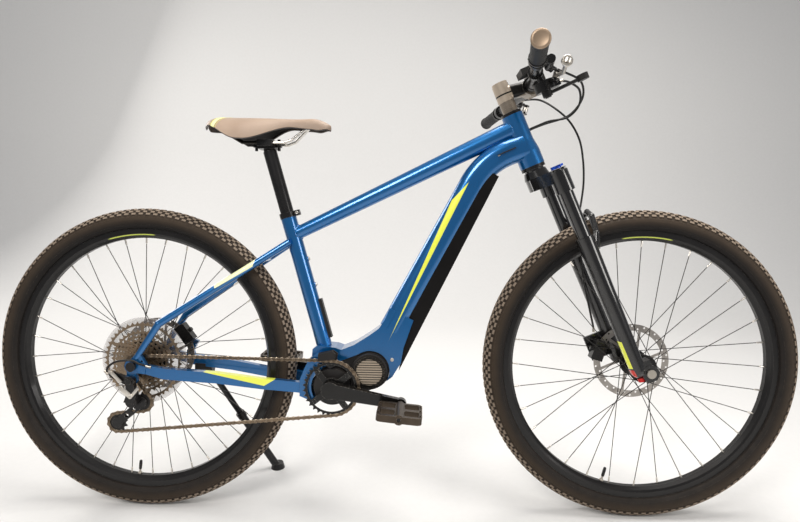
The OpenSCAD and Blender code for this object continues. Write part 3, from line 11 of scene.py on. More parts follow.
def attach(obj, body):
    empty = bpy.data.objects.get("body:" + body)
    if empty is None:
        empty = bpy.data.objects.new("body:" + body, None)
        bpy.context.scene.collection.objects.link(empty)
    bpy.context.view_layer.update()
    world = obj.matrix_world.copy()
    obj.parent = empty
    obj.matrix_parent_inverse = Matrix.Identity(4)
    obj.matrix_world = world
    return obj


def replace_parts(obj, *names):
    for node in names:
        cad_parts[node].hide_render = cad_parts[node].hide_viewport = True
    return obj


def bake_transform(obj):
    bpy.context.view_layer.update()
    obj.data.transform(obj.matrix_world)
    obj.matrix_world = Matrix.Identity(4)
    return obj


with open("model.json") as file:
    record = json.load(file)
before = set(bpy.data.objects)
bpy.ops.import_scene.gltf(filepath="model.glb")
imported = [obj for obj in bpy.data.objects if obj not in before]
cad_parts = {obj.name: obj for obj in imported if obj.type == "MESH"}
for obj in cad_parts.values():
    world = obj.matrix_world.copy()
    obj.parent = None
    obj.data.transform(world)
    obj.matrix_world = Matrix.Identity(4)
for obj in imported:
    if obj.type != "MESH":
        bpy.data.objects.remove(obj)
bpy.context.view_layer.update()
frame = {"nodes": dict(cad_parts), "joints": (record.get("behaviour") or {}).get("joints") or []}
random.seed(11)

# ---------------------------------------------------------------- places
# Bike millimetres: origin at the rear axle, X forward, Y to the left side, Z up, upright.
# BIKE leans it and sets it on the floor, in metres.
JOINTS = {j["name"]: j for j in frame["joints"]}
LEAN = math.radians(5)
REAR = Vector(JOINTS["rear_wheel_spin"]["pos_m"])
BIKE = Matrix.Translation(REAR) @ Matrix.Rotation(-LEAN, 4, "X") @ Matrix.Scale(0.001, 4)
UPRIGHT = BIKE.inverted()


def tilted(x, z, angle):
    """A place at (x, 0, z) whose Z leans back to a frame angle."""
    s, c = math.sin(math.radians(angle)), math.cos(math.radians(angle))
    return Matrix(((s, 0, -c, x), (0, 1, 0, 0), (c, 0, s, z), (0, 0, 0, 1)))


WHEELBASE = 1177.0
CRANK_AXLE = (457.05, -52.0)
STEER = tilted(1130.124, -20.091, 66.8)
SEAT = tilted(*CRANK_AXLE, 74.55)
HERE = Matrix.Identity(4)
BAR_BEND, BAR_END = Vector((52, 100, 699)), Vector((5.14, 380, 707))
BAR_INWARD = (BAR_BEND - BAR_END).normalized()


def bar_at(inward, side, fore=0, rise=0):
    """A point by the bar, that far in from its end, in front of it and above it."""
    p = BAR_END + BAR_INWARD * inward + Vector((fore, 0, rise))
    return Vector((p.x, side * p.y, p.z))


def along(p, q, roll=(0, 0, 1)):
    """Matrix at p whose Z points to q."""
    z = (Vector(q) - Vector(p)).normalized()
    x = Vector(roll).cross(z)
    if x.length < 1e-4:
        x = Vector((1, 0, 0)).cross(z)
    x.normalize()
    y = z.cross(x)
    m = Matrix((x, y, z)).transposed().to_4x4()
    m.translation = Vector(p)
    return m


# ---------------------------------------------------------------- camera
def set_camera(stand, right, ahead, lens):
    """A camera beside the upright bike, turned with it into the row frame."""
    turn = Matrix.Rotation(-LEAN, 3, "X")
    ahead = (turn @ ahead).normalized()
    right = turn @ right
    right = (right - ahead * right.dot(ahead)).normalized()
    up = right.cross(ahead)
    camera = bpy.data.objects.new("camera", bpy.data.cameras.new("camera"))
    camera.data.lens = lens
    camera.data.sensor_width = 36
    camera.data.clip_start = 0.02
    camera.matrix_world = Matrix((right, up, -ahead)).transposed().to_4x4()
    camera.location = BIKE @ stand
    bpy.context.scene.collection.objects.link(camera)
    bpy.context.scene.camera = camera
    bpy.context.scene.view_settings.view_transform = "Standard"


set_camera(Vector((665.9, -1302.6, 331.3)), Vector((0.9992, 0.0402, 0.0045)),
           Vector((-0.0398, 0.9969, -0.0682)), 24.72)


# ---------------------------------------------------------------- node trees
def feed(tree, node, inputs):
    """Gives each input its value, or the link that brings it."""
    for label, value in inputs.items():
        if isinstance(value, bpy.types.NodeSocket):
            tree.links.new(value, node.inputs[label])
        else:
            node.inputs[label].default_value = value


def add(tree, kind, inputs=None, **settings):
    node = tree.nodes.new("ShaderNode" + kind)
    for label, value in settings.items():
        setattr(node, label, value)
    feed(tree, node, inputs or {})
    return node


def group(name, takes, gives):
    """A node group: its tree, what it is given and what it puts out."""
    tree = bpy.data.node_groups.new(name, "ShaderNodeTree")
    for label, kind, value in takes:
        socket = tree.interface.new_socket(name=label, in_out="INPUT", socket_type="NodeSocket" + kind)
        socket.default_value = value
    for label, kind in gives:
        tree.interface.new_socket(name=label, in_out="OUTPUT", socket_type="NodeSocket" + kind)
    return tree, tree.nodes.new("NodeGroupInput").outputs, tree.nodes.new("NodeGroupOutput").inputs


def use(tree, kind, **inputs):
    """Places a group in a tree and gives its outputs."""
    node = tree.nodes.new("ShaderNodeGroup")
    node.node_tree = kind
    feed(tree, node, {label.replace("_", " "): value for label, value in inputs.items()})
    return node.outputs


def maths(tree, op, a, b=0.0, c=None, clamp=False):
    inputs = {0: a, 1: b} if c is None else {0: a, 1: b, 2: c}
    return add(tree, "Math", inputs, operation=op, use_clamp=clamp).outputs[0]


def mixed(tree, factor, a, b):
    return add(tree, "Mix", {0: factor, 6: a, 7: b}, data_type="RGBA", clamp_factor=True).outputs[2]


def dot(tree, a, b):
    return add(tree, "VectorMath", {0: a, 1: b}, operation="DOT_PRODUCT").outputs["Value"]


def difference(tree, a, b):
    return add(tree, "VectorMath", {0: a, 1: b}, operation="SUBTRACT").outputs[0]


def hypotenuse(tree, a, b):
    both = maths(tree, "ADD", maths(tree, "MULTIPLY", a, a), maths(tree, "MULTIPLY", b, b))
    return maths(tree, "SQRT", both)


def rgb(r, g, b):
    return (r, g, b, 1.0)


def make_bike_place():
    """Where a point of the surface is, in bike millimetres."""
    tree, _, out = group("bike place", [], [("Place", "Vector")])
    raw = tree.nodes.new("ShaderNodeTexCoord").outputs["Object"]
    move = Matrix.Rotation(LEAN, 3, "X") @ (-REAR * 1000)
    turned = {"Vector": raw, "Location": move, "Rotation": (LEAN, 0, 0), "Scale": (1000, 1000, 1000)}
    tree.links.new(add(tree, "Mapping", turned, vector_type="POINT").outputs[0], out["Place"])
    return tree


BIKE_PLACE = make_bike_place()


def make_grain():
    """Fine texture of a cast, moulded or painted skin: a roughness, a height and a slow cloud."""
    takes = [("Size", "Float", 2.0), ("Roughness", "Float", 0.4), ("Spread", "Float", 0.1)]
    gives = [("Roughness", "Float"), ("Height", "Float"), ("Cloud", "Float")]
    tree, given, out = group("skin grain", takes, gives)
    place = use(tree, BIKE_PLACE)[0]
    size = maths(tree, "DIVIDE", 1.0, given["Size"])
    small = {"Vector": place, "Scale": size, "Detail": 4.0, "Roughness": 0.6}
    large = {"Vector": place, "Scale": 0.018, "Detail": 3.0, "Roughness": 0.55}
    fine = add(tree, "TexNoise", small).outputs[0]
    cloud = add(tree, "TexNoise", large).outputs[0]
    both = maths(tree, "ADD", maths(tree, "MULTIPLY", fine, 0.45), maths(tree, "MULTIPLY", cloud, 0.55))
    swing = maths(tree, "MULTIPLY", maths(tree, "SUBTRACT", both, 0.5), given["Spread"])
    rough = maths(tree, "ADD", given["Roughness"], maths(tree, "MULTIPLY", swing, 3.0), clamp=True)
    for label, value in (("Roughness", rough), ("Height", fine), ("Cloud", cloud)):
        tree.links.new(value, out[label])
    return tree


GRAIN = make_grain()
DUST_COLOUR = (0.42, 0.34, 0.26)
GREY = rgb(0.5, 0.5, 0.5)


def laid_over(name, second, colour, amount):
    """A group that lays a second colour over the first, by a mask."""
    takes = [("Color", "Color", GREY), (second, "Color", colour), ("Amount", "Float", amount)]
    return group(name, takes, [("Color", "Color"), ("Mask", "Float")])


def make_edge_wear():
    """Where corners are rubbed, broken up by noise."""
    tree, given, out = laid_over("rubbed edges", "Bare Color", rgb(0.6, 0.6, 0.6), 0.5)
    flat = tree.nodes.new("ShaderNodeNewGeometry").outputs["Normal"]
    rounded = add(tree, "Bevel", {"Radius": 0.0009}, samples=4).outputs[0]
    edge = maths(tree, "SUBTRACT", 1.0, dot(tree, rounded, flat))
    edge = maths(tree, "MULTIPLY", edge, 5.0, clamp=True)
    patchy = {"Vector": use(tree, BIKE_PLACE)[0], "Scale": 0.22, "Detail": 5.0, "Roughness": 0.65}
    rub = maths(tree, "SUBTRACT", add(tree, "TexNoise", patchy).outputs[0], 0.42)
    rub = maths(tree, "MULTIPLY", rub, 5.0, clamp=True)
    mask = maths(tree, "MULTIPLY", maths(tree, "MULTIPLY", edge, rub), given["Amount"], clamp=True)
    tree.links.new(mask, out["Mask"])
    tree.links.new(mixed(tree, mask, given["Color"], given["Bare Color"]), out["Color"])
    return tree


EDGE_WEAR = make_edge_wear()


def make_dust():
    """Dust that lies on what faces up."""
    tree, given, out = laid_over("settled dust", "Dust Color", rgb(*DUST_COLOUR), 0.2)
    normal = tree.nodes.new("ShaderNodeNewGeometry").outputs["Normal"]
    up = maths(tree, "MULTIPLY_ADD", add(tree, "SeparateXYZ", {0: normal}).outputs["Z"], 0.5, 0.5)
    patchy = {"Vector": use(tree, BIKE_PLACE)[0], "Scale": 0.045, "Detail": 6.0, "Roughness": 0.7}
    patches = maths(tree, "MULTIPLY", add(tree, "TexNoise", patchy).outputs[0], 1.6)
    mask = maths(tree, "MULTIPLY", up, patches, clamp=True)
    mask = maths(tree, "MULTIPLY", mask, given["Amount"], clamp=True)
    tree.links.new(mask, out["Mask"])
    tree.links.new(mixed(tree, mask, given["Color"], given["Dust Color"]), out["Color"])
    return tree


DUST = make_dust()


def make_side_of():
    """1 on the side of a line, in bike millimetres, that Toward points to."""
    takes = [("Point", "Vector", (0, 0, 0)), ("Toward", "Vector", (1, 0, 0)), ("Soft", "Float", 0.5)]
    tree, given, out = group("side of a line", takes, [("Mask", "Float")])
    off = difference(tree, use(tree, BIKE_PLACE)[0], given["Point"])
    past = maths(tree, "DIVIDE", dot(tree, off, given["Toward"]), given["Soft"])
    tree.links.new(maths(tree, "ADD", past, 0.5, clamp=True), out["Mask"])
    return tree


SIDE_OF = make_side_of()


def make_ring():
    """Distance in millimetres from an axle that runs along Y, and the turn about it in degrees."""
    takes, gives = [("Axle", "Vector", (0, 0, 0))], [("Radius", "Float"), ("Turn", "Float")]
    tree, given, out = group("from the axle", takes, gives)
    off = difference(tree, use(tree, BIKE_PLACE)[0], given["Axle"])
    x, _, z = add(tree, "SeparateXYZ", {0: off}).outputs
    tree.links.new(hypotenuse(tree, x, z), out["Radius"])
    tree.links.new(maths(tree, "DEGREES", maths(tree, "ARCTAN2", z, x)), out["Turn"])
    return tree


RING = make_ring()


def band(tree, value, low, high=400.0, soft=0.6):
    """1 between low and high."""
    above = maths(tree, "DIVIDE", maths(tree, "SUBTRACT", value, low), soft)
    below = maths(tree, "DIVIDE", maths(tree, "SUBTRACT", high, value), soft)
    return maths(tree, "MULTIPLY", maths(tree, "ADD", above, 0.5, clamp=True),
                 maths(tree, "ADD", below, 0.5, clamp=True))


def inside_of(tree, points, near):
    """1 inside a convex outline of (x, z) points, on the right of y = near."""
    mid_x, mid_z = (sum(p[k] for p in points) / len(points) for k in (0, 1))
    mask = use(tree, SIDE_OF, Point=(0, near, 0), Toward=(0, -1, 0), Soft=1.0)[0]
    for (x0, z0), (x1, z1) in zip(points, points[1:] + points[:1]):
        inward = Vector((z1 - z0, 0, x0 - x1)).normalized()
        if inward.x * (mid_x - x0) + inward.z * (mid_z - z0) < 0:
            inward = -inward
        side = use(tree, SIDE_OF, Point=(x0, 0, z0), Toward=tuple(inward), Soft=0.8)[0]
        mask = maths(tree, "MULTIPLY", mask, side)
    return mask


def finish(name, **on_shader):
    """A new material, its node tree and its shader, with the shader's own values set."""
    skin = bpy.data.materials.new(name)
    skin.use_nodes = True
    shader = skin.node_tree.nodes["Principled BSDF"]
    for label, value in on_shader.items():
        shader.inputs[label.replace("_", " ")].default_value = value
    return skin, skin.node_tree, shader


def wire(tree, shader, colour, rough=None, height=None, bump=0.1, depth=0.0003):
    """Joins a finish's colour, roughness and bumps to its shader."""
    tree.links.new(colour, shader.inputs["Base Color"])
    if rough is not None:
        tree.links.new(rough, shader.inputs["Roughness"])
    if height is not None:
        bumps = add(tree, "Bump", {"Strength": bump, "Distance": depth, "Height": height})
        tree.links.new(bumps.outputs[0], shader.inputs["Normal"])


def grain(tree, size, rough, spread=0.08):
    """The grain's roughness, height and cloud."""
    return use(tree, GRAIN, Size=size, Roughness=rough, Spread=spread)


def between(tree, mask, dark, light):
    """A colour that goes from one plain colour to another with a mask."""
    return mixed(tree, mask, rgb(*dark), rgb(*light))


def rubbed(tree, colour, bare, amount):
    return use(tree, EDGE_WEAR, Color=colour, Bare_Color=rgb(*bare), Amount=amount)[0]


def dusted(tree, colour, amount, dust=DUST_COLOUR):
    """The dusty colour and the dust's mask."""
    return use(tree, DUST, Color=colour, Dust_Color=rgb(*dust), Amount=amount)


def aged(tree, colour, bare, rub, dust, dust_colour=DUST_COLOUR):
    """The rubbed and dusty colour and the dust's mask."""
    return dusted(tree, rubbed(tree, colour, bare, rub), dust, dust_colour)


def duller(tree, rough, dust, by):
    return maths(tree, "ADD", rough, maths(tree, "MULTIPLY", dust, by), clamp=True)


def shaded(colour, value):
    return tuple(part * value for part in colour)


# ---------------------------------------------------------------- finishes
def blue_lacquer(name, marks=()):
    """Metallic blue under clear lacquer. marks are (outline, near, colour) of contrasting blades."""
    skin, tree, shader = finish(name, Coat_Weight=1.0, Coat_Roughness=0.04)
    place = use(tree, BIKE_PLACE)[0]
    flakes = add(tree, "TexVoronoi", {"Vector": place, "Scale": 2.6}).outputs["Color"]
    flake = add(tree, "SeparateXYZ", {0: flakes}).outputs[0]
    rough, _, cloud = grain(tree, 9.0, 0.30, 0.05)
    colour = between(tree, maths(tree, "MULTIPLY", flake, 0.45), (0.0, 0.082, 0.26), (0.002, 0.22, 0.55))
    colour = mixed(tree, maths(tree, "MULTIPLY", cloud, 0.5), colour, rgb(0.0, 0.13, 0.38))
    metal = maths(tree, "MULTIPLY_ADD", flake, 0.25, 0.50)
    for outline, near, mark in marks:
        inside = inside_of(tree, outline, near)
        colour = mixed(tree, inside, colour, mark)
        metal = maths(tree, "MULTIPLY", metal, maths(tree, "SUBTRACT", 1.0, inside))
    colour, dust = aged(tree, colour, (0.06, 0.36, 0.68), 0.35, 0.015, (0.30, 0.32, 0.34))
    peel = add(tree, "TexNoise", {"Vector": place, "Scale": 0.35, "Detail": 2.0}).outputs[0]
    wire(tree, shader, colour, duller(tree, rough, dust, 0.6), peel, 0.05)
    tree.links.new(metal, shader.inputs["Metallic"])
    return skin


NEON = rgb(0.86, 0.90, 0.08)
PALE_NEON = rgb(0.90, 0.92, 0.55)
BLADE = [(772.3, 426.6), (734.0, 385.6), (592.5, 63.0)]
CHAIN_STAY_WEDGE = [(136.5, -7.6), (146, 12), (346, -12), (331, -30.1), (299, -49.0)]
SEAT_STAY_WEDGE = [(188.3, 179.6), (180, 200), (268, 262), (277.3, 244.5), (272.5, 229.6)]
LACQUER = blue_lacquer("blue lacquer")
DOWN_TUBE_LACQUER = blue_lacquer("blue lacquer with blade", [(BLADE, -4, NEON)])
STAY_LACQUER = blue_lacquer("blue lacquer with wedges", [(CHAIN_STAY_WEDGE, -20, NEON),
                                                         (SEAT_STAY_WEDGE, -10, PALE_NEON)])


def satin(name, colour, rough=0.42, metal=0.0, size=1.4, bump=0.12, wear=None, rub=0.5, dust=0.12,
          coat=0.0, shine=0.5):
    """An even colour with grain, faint clouds, rubbed edges and dust."""
    skin, tree, shader = finish(name, Metallic=metal, Coat_Weight=coat, Coat_Roughness=0.08,
                                Specular_IOR_Level=shine)
    rough, height, cloud = grain(tree, size, rough)
    drift = maths(tree, "MULTIPLY_ADD", maths(tree, "SUBTRACT", cloud, 0.5), 2.2, 0.5, clamp=True)
    tone = between(tree, drift, shaded(colour, 0.776), shaded(colour, 1.14))
    if wear:
        tone = rubbed(tree, tone, wear, rub)
    tone, dust = dusted(tree, tone, dust)
    wire(tree, shader, tone, duller(tree, rough, dust, 0.5), height, bump, 0.0004)
    return skin


BLACK_PLASTIC = satin("moulded black plastic", (0.0085, 0.008, 0.008), 0.42, size=0.5, bump=0.35,
                      wear=(0.10, 0.09, 0.085), dust=0.02, shine=0.35)
BATTERY_SHELL = satin("battery shell", (0.0035, 0.003, 0.003), 0.38, size=0.6, bump=0.2,
                      wear=(0.08, 0.07, 0.065), rub=0.4, dust=0.005, shine=0.2)
GLOSS_BLACK = satin("gloss black lacquer", (0.004, 0.004, 0.0045), 0.22, size=8, bump=0.02,
                    wear=(0.25, 0.24, 0.23), rub=0.25, dust=0.01, coat=1.0, shine=0.35)
BLACK_ALLOY = satin("black anodised alloy", (0.010, 0.010, 0.011), 0.27, 0.35, size=0.8, bump=0.08,
                    wear=(0.50, 0.46, 0.42), rub=0.7, dust=0.02)
MOTOR_CASTING = satin("dark motor casting", (0.016, 0.015, 0.015), 0.45, 0.3, size=0.9, bump=0.5,
                      wear=(0.30, 0.27, 0.23), dust=0.04)
PEDAL_ALLOY = satin("pedal alloy", (0.075, 0.056, 0.040), 0.36, 0.75, size=0.9, bump=0.2,
                    wear=(0.62, 0.52, 0.42), rub=0.8, dust=0.03)
BRIGHT_ALLOY = satin("polished alloy", (0.70, 0.66, 0.60), 0.34, 0.9, size=0.7, bump=0.05,
                     wear=(0.9, 0.88, 0.84), dust=0.08)
WARM_ALLOY = satin("warm satin alloy", (0.33, 0.24, 0.165), 0.42, 0.6, size=0.8, bump=0.08,
                   wear=(0.9, 0.84, 0.74), rub=0.6, dust=0.1)
STEEL = satin("worn steel", (0.52, 0.48, 0.42), 0.30, 1.0, size=0.6, bump=0.1,
              wear=(0.85, 0.82, 0.78), rub=0.6)
CHAIN_STEEL = satin("chain plates", (0.17, 0.125, 0.085), 0.30, 0.9, size=0.8, bump=0.15,
                    wear=(0.85, 0.74, 0.58), rub=0.9, dust=0.03)
BLUE_ANODISED = satin("blue anodised alloy", (0.02, 0.10, 0.62), 0.28, 0.85,
                      wear=(0.7, 0.72, 0.8), rub=0.6, dust=0.03)
RED_ANODISED = satin("red anodised alloy", (0.55, 0.02, 0.02), 0.3, 0.7,
                     wear=(0.8, 0.6, 0.5), dust=0.05)
HOSE_JACKET = satin("hose jacket", (0.006, 0.006, 0.006), 0.30, size=0.4, dust=0.02, shine=0.35)
GRIP_RUBBER = satin("ribbed grip rubber", (0.004, 0.0035, 0.0035), 0.50, size=0.7, bump=0.3, dust=0.02)
NEON_TRIM = satin("neon trim", NEON[:3], 0.4, size=2, bump=0.05, dust=0.1)


def turned_steel(name, colour, axle, rough, metal=1.0, dust=0.10, shine=0.5):
    """Turned or ground metal: fine rings about its axle."""
    skin, tree, shader = finish(name, Metallic=metal, Specular_IOR_Level=shine)
    radius = maths(tree, "MULTIPLY", use(tree, RING, Axle=axle)[0], 3.1)
    lines = {"W": radius, "Detail": 3.0, "Scale": 1.0}
    rings = add(tree, "TexNoise", lines, noise_dimensions="1D").outputs[0]
    tone = between(tree, rings, shaded(colour, 0.62), shaded(colour, 1.3))
    tone = aged(tree, tone, (0.92, 0.88, 0.8), 0.6, dust)[0]
    wire(tree, shader, tone, duller(tree, grain(tree, 1.1, rough, 0.12)[0], rings, 0.12), rings, 0.15)
    return skin


FRONT_AXLE, REAR_AXLE, BOTTOM_AXLE = (WHEELBASE, 0, 0), (0, 0, 0), (CRANK_AXLE[0], 0, CRANK_AXLE[1])
DISC_STEEL = (0.44, 0.41, 0.38)
CASSETTE_STEEL = turned_steel("cassette steel", (0.30, 0.225, 0.155), REAR_AXLE, 0.34)
FRONT_DISC = turned_steel("front disc steel", DISC_STEEL, FRONT_AXLE, 0.28)
REAR_DISC = turned_steel("rear disc steel", DISC_STEEL, REAR_AXLE, 0.28)
CRANK_METAL = turned_steel("crank and ring metal", (0.0045, 0.0045, 0.0045), BOTTOM_AXLE, 0.13,
                           0.0, 0.015, 0.35)
TYRE_RING = 336.0    # radius of the middle of the tyre's section
CARCASS = 26.3       # the section's own radius, without knobs


def tyre_rubber(name, axle):
    """Side walls near black by the rim and browner higher up, painted shade and light; a dark tread floor and
    paler knob tops, partly worn and partly a painted highlight.
    """
    skin, tree, shader = finish(name, Specular_IOR_Level=0.25)
    radius = use(tree, RING, Axle=axle)[0]
    rough, height, cloud = grain(tree, 1.6, 0.72, 0.12)
    # painted shade and light on the side walls: near black by the rim, browner higher up
    side = between(tree, cloud, (0.020, 0.013, 0.008), (0.040, 0.027, 0.017))
    side = mixed(tree, band(tree, radius, 333.0, soft=14.0), rgb(0.006, 0.005, 0.005), side)
    tread = between(tree, height, (0.010, 0.007, 0.005), (0.024, 0.017, 0.012))
    # paler knob tops: partly wear, partly a painted highlight on every knob top
    worn = between(tree, height, (0.15, 0.115, 0.085), (0.30, 0.235, 0.18))
    across = add(tree, "SeparateXYZ", {0: use(tree, BIKE_PLACE)[0]}).outputs[1]
    depth = hypotenuse(tree, maths(tree, "SUBTRACT", radius, TYRE_RING), across)
    tread = mixed(tree, band(tree, depth, CARCASS + 1.4, 60.0, 0.4), tread, worn)
    colour = mixed(tree, band(tree, radius, 349.0, soft=3.0), side, tread)
    colour = rubbed(tree, colour, (0.34, 0.26, 0.19), 0.45)
    wire(tree, shader, dusted(tree, colour, 0.05, (0.36, 0.27, 0.19))[0], rough, height, 0.25, 0.0005)
    return skin


def rim_black(name, axle, arc):
    """Black rim with one neon arc, from one turn in degrees to another."""
    skin, tree, shader = finish(name, Metallic=0.2, Coat_Weight=0.25, Coat_Roughness=0.1,
                                Specular_IOR_Level=0.25)
    radius, turn = use(tree, RING, Axle=axle)
    rough, height, cloud = grain(tree, 1.0, 0.36)
    colour = between(tree, cloud, (0.005, 0.005, 0.0055), (0.012, 0.011, 0.011))
    on_arc = maths(tree, "MULTIPLY", band(tree, turn, *arc, 1.5), band(tree, radius, 301.0, 303.6, 0.5))
    colour = mixed(tree, on_arc, colour, rgb(0.55, 0.62, 0.10))
    colour = aged(tree, colour, (0.45, 0.42, 0.38), 0.45, 0.01)[0]
    wire(tree, shader, colour, rough, height, 0.08)
    return skin


def spoke_wire(name, axle):
    """Black wire with bright nipples."""
    skin, tree, shader = finish(name)
    nipple = band(tree, use(tree, RING, Axle=axle)[0], 279.0, 330.0)
    rough, _, cloud = grain(tree, 0.7, 0.28)
    wire_black = between(tree, cloud, (0.02, 0.02, 0.02), (0.06, 0.055, 0.05))
    wire(tree, shader, mixed(tree, nipple, wire_black, rgb(0.72, 0.68, 0.62)), rough)
    tree.links.new(maths(tree, "MULTIPLY_ADD", nipple, 0.2, 0.8), shader.inputs["Metallic"])
    return skin


NEON_STRIP = [(1103.0, 70.0), (1110.5, 70.0), (1137.5, 10.0), (1130.5, 7.5)]
RED_TICK = [(1131.5, 4.5), (1139.5, 6.5), (1149.0, -9.5), (1142.0, -14.0)]


def fork_lacquer(name):
    """Gloss black lowers with a neon strip and a red tick low on the right leg."""
    skin, tree, shader = finish(name, Coat_Weight=1.0, Coat_Roughness=0.05, Specular_IOR_Level=0.25)
    rough, height, cloud = grain(tree, 7.0, 0.28, 0.06)
    colour = between(tree, cloud, (0.003, 0.003, 0.0035), (0.007, 0.007, 0.0075))
    colour = mixed(tree, inside_of(tree, NEON_STRIP, -40), colour, NEON)
    colour = mixed(tree, inside_of(tree, RED_TICK, -40), colour, rgb(0.62, 0.03, 0.02))
    colour, dust = aged(tree, colour, (0.20, 0.19, 0.18), 0.2, 0.01)
    wire(tree, shader, colour, duller(tree, rough, dust, 0.5), height, 0.03)
    return skin


def hub_and_guard(name):
    """Black hub shell, with the clear guard disc behind the cassette and a painted highlight round the
    guard's edge.
    """
    skin, tree, shader = finish(name)
    radius = use(tree, RING, Axle=REAR_AXLE)[0]
    guard = band(tree, radius, 52.0)
    rough, _, cloud = grain(tree, 1.0, 0.27)
    # painted highlight: the guard is lighter past its outer edge, in place of light caught on its rim
    clear = between(tree, band(tree, radius, 100.5, soft=0.8), (0.24, 0.21, 0.20), (0.52, 0.48, 0.46))
    shell = between(tree, cloud, (0.008, 0.008, 0.008), (0.018, 0.017, 0.017))
    colour = rubbed(tree, mixed(tree, guard, shell, clear), (0.60, 0.57, 0.55), 0.4)
    wire(tree, shader, colour, rough)
    solid = maths(tree, "SUBTRACT", 1.0, maths(tree, "MULTIPLY", guard, 0.72))
    tree.links.new(solid, shader.inputs["Alpha"])
    metal = maths(tree, "MULTIPLY", maths(tree, "SUBTRACT", 1.0, guard), 0.35)
    tree.links.new(metal, shader.inputs["Metallic"])
    return skin


def motor_fins(name):
    """Warm bright fins on the motor cover inside a black rim, dark between the fins."""
    skin, tree, shader = finish(name, Metallic=0.75)
    radius = use(tree, RING, Axle=(CRANK_AXLE[0] + 88, 0, -15))[0]
    across = add(tree, "SeparateXYZ", {0: use(tree, BIKE_PLACE)[0]}).outputs[1]
    rough, height, cloud = grain(tree, 0.8, 0.36)
    face = between(tree, cloud, (0.40, 0.33, 0.25), (0.56, 0.47, 0.37))
    behind = band(tree, maths(tree, "ABSOLUTE", maths(tree, "ADD", across, 49.5)), 0.7, soft=0.4)
    colour = mixed(tree, maths(tree, "MULTIPLY", behind, 0.9), face, rgb(0.010, 0.009, 0.008))
    colour = mixed(tree, band(tree, radius, 30.5, soft=0.5), colour, rgb(0.010, 0.010, 0.010))
    colour = aged(tree, colour, (0.75, 0.66, 0.54), 0.6, 0.05)[0]
    wire(tree, shader, colour, rough, height, 0.15)
    return skin


def stem_painted_highlight(name):
    """Black stem whose steerer clamp and spacers carry a warm painted highlight, with a dark pinch gap in the
    clamp.
    """
    skin, tree, shader = finish(name, Metallic=0.6)
    off = difference(tree, use(tree, BIKE_PLACE)[0], tuple(STEER.translation))
    high = dot(tree, off, tuple(STEER.col[2][:3]))
    fore = dot(tree, off, tuple(STEER.col[0][:3]))
    rough, height, cloud = grain(tree, 0.9, 0.30)
    black = between(tree, cloud, (0.007, 0.007, 0.0075), (0.016, 0.016, 0.016))
    # painted highlight: the warm tan that the clamp and spacers take in place of a reflection
    warm = between(tree, cloud, (0.42, 0.34, 0.26), (0.66, 0.56, 0.45))
    clamp = maths(tree, "MULTIPLY", band(tree, fore, -60.0, 16.5, 2.0), band(tree, high, 688.0, 760.0, 0.5))
    clamp = maths(tree, "MULTIPLY", clamp, maths(tree, "SUBTRACT", 1.0, band(tree, high, 703.0, 706.5)))
    spacers = maths(tree, "MULTIPLY", band(tree, high, 600.0, 688.0, 0.5), 0.45)
    colour = mixed(tree, maths(tree, "MAXIMUM", clamp, spacers), black, warm)
    colour = aged(tree, colour, (0.85, 0.78, 0.68), 0.6, 0.03)[0]
    wire(tree, shader, colour, rough, height, 0.1)
    return skin


def rail_steel(name):
    """Bright rails in front of the clamp, black behind it."""
    skin, tree, shader = finish(name, Metallic=1.0)
    rough, _, cloud = grain(tree, 0.7, 0.24)
    front = use(tree, SIDE_OF, Point=(300, 0, 0), Toward=(1, 0, 0), Soft=8.0)[0]
    bright = between(tree, cloud, (0.62, 0.58, 0.52), (0.82, 0.79, 0.74))
    colour = mixed(tree, front, rgb(0.02, 0.018, 0.016), bright)
    wire(tree, shader, aged(tree, colour, (0.85, 0.82, 0.78), 0.5, 0.04)[0], rough)
    return skin


FRONT_RUBBER = tyre_rubber("front tyre rubber", FRONT_AXLE)
REAR_RUBBER = tyre_rubber("rear tyre rubber", REAR_AXLE)
COATS = (
    (LACQUER, "head_tube top_tube seat_tube left_stays"),
    (DOWN_TUBE_LACQUER, "down_tube"),
    (STAY_LACQUER, "right_stays"),
    (BATTERY_SHELL, "battery"),
    (PEDAL_ALLOY, "right_pedal left_pedal"),
    (BLACK_PLASTIC, "cable_cover display saddle_base chain_guide stand_bracket shift_lever"),
    (BLACK_PLASTIC, "jockey_wheels_upper jockey_wheels_lower"),
    (BLACK_ALLOY, "headset seat_collar seatpost handlebar rear_axle brake_bodies shifter front_hub"),
    (BLACK_ALLOY, "stand_leg derailleur rear_caliper front_caliper jockey_cage"),
    (GLOSS_BLACK, "fork_crown stanchions"),
    (STEEL, "front_axle"),
    (BRIGHT_ALLOY, "right_brake_lever left_brake_lever"),
    (BLUE_ANODISED, "lockout_lever"),
    (RED_ANODISED, "rebound_knob"),
    (MOTOR_CASTING, "motor_case"),
    (CRANK_METAL, "cranks"),
    (CASSETTE_STEEL, "cassette"),
    (FRONT_DISC, "front_disc"),
    (REAR_DISC, "rear_disc"),
    (fork_lacquer("fork lower lacquer"), "fork_lowers"),
    (motor_fins("motor cover fins"), "motor_cover"),
    (stem_painted_highlight("stem and spacers"), "stem"),
    (rail_steel("saddle rail steel"), "saddle_rails"),
    (hub_and_guard("rear hub and guard"), "rear_hub"),
    (rim_black("front rim black", FRONT_AXLE, (78, 99)), "front_rim"),
    (rim_black("rear rim black", REAR_AXLE, (85, 106)), "rear_rim"),
    (spoke_wire("front spoke wire", FRONT_AXLE), "front_spokes"),
    (spoke_wire("rear spoke wire", REAR_AXLE), "rear_spokes"),
)


def coat_frame():
    for skin, nodes in COATS:
        for node in nodes.split():
            part = frame["nodes"][node]
            if not part.data.materials:
                part.data.materials.append(skin)
            for place in part.material_slots:
                place.material = skin
    for part in frame["nodes"].values():
        part.data.shade_smooth()
        part.data.set_sharp_from_angle(angle=math.radians(32))


coat_frame()


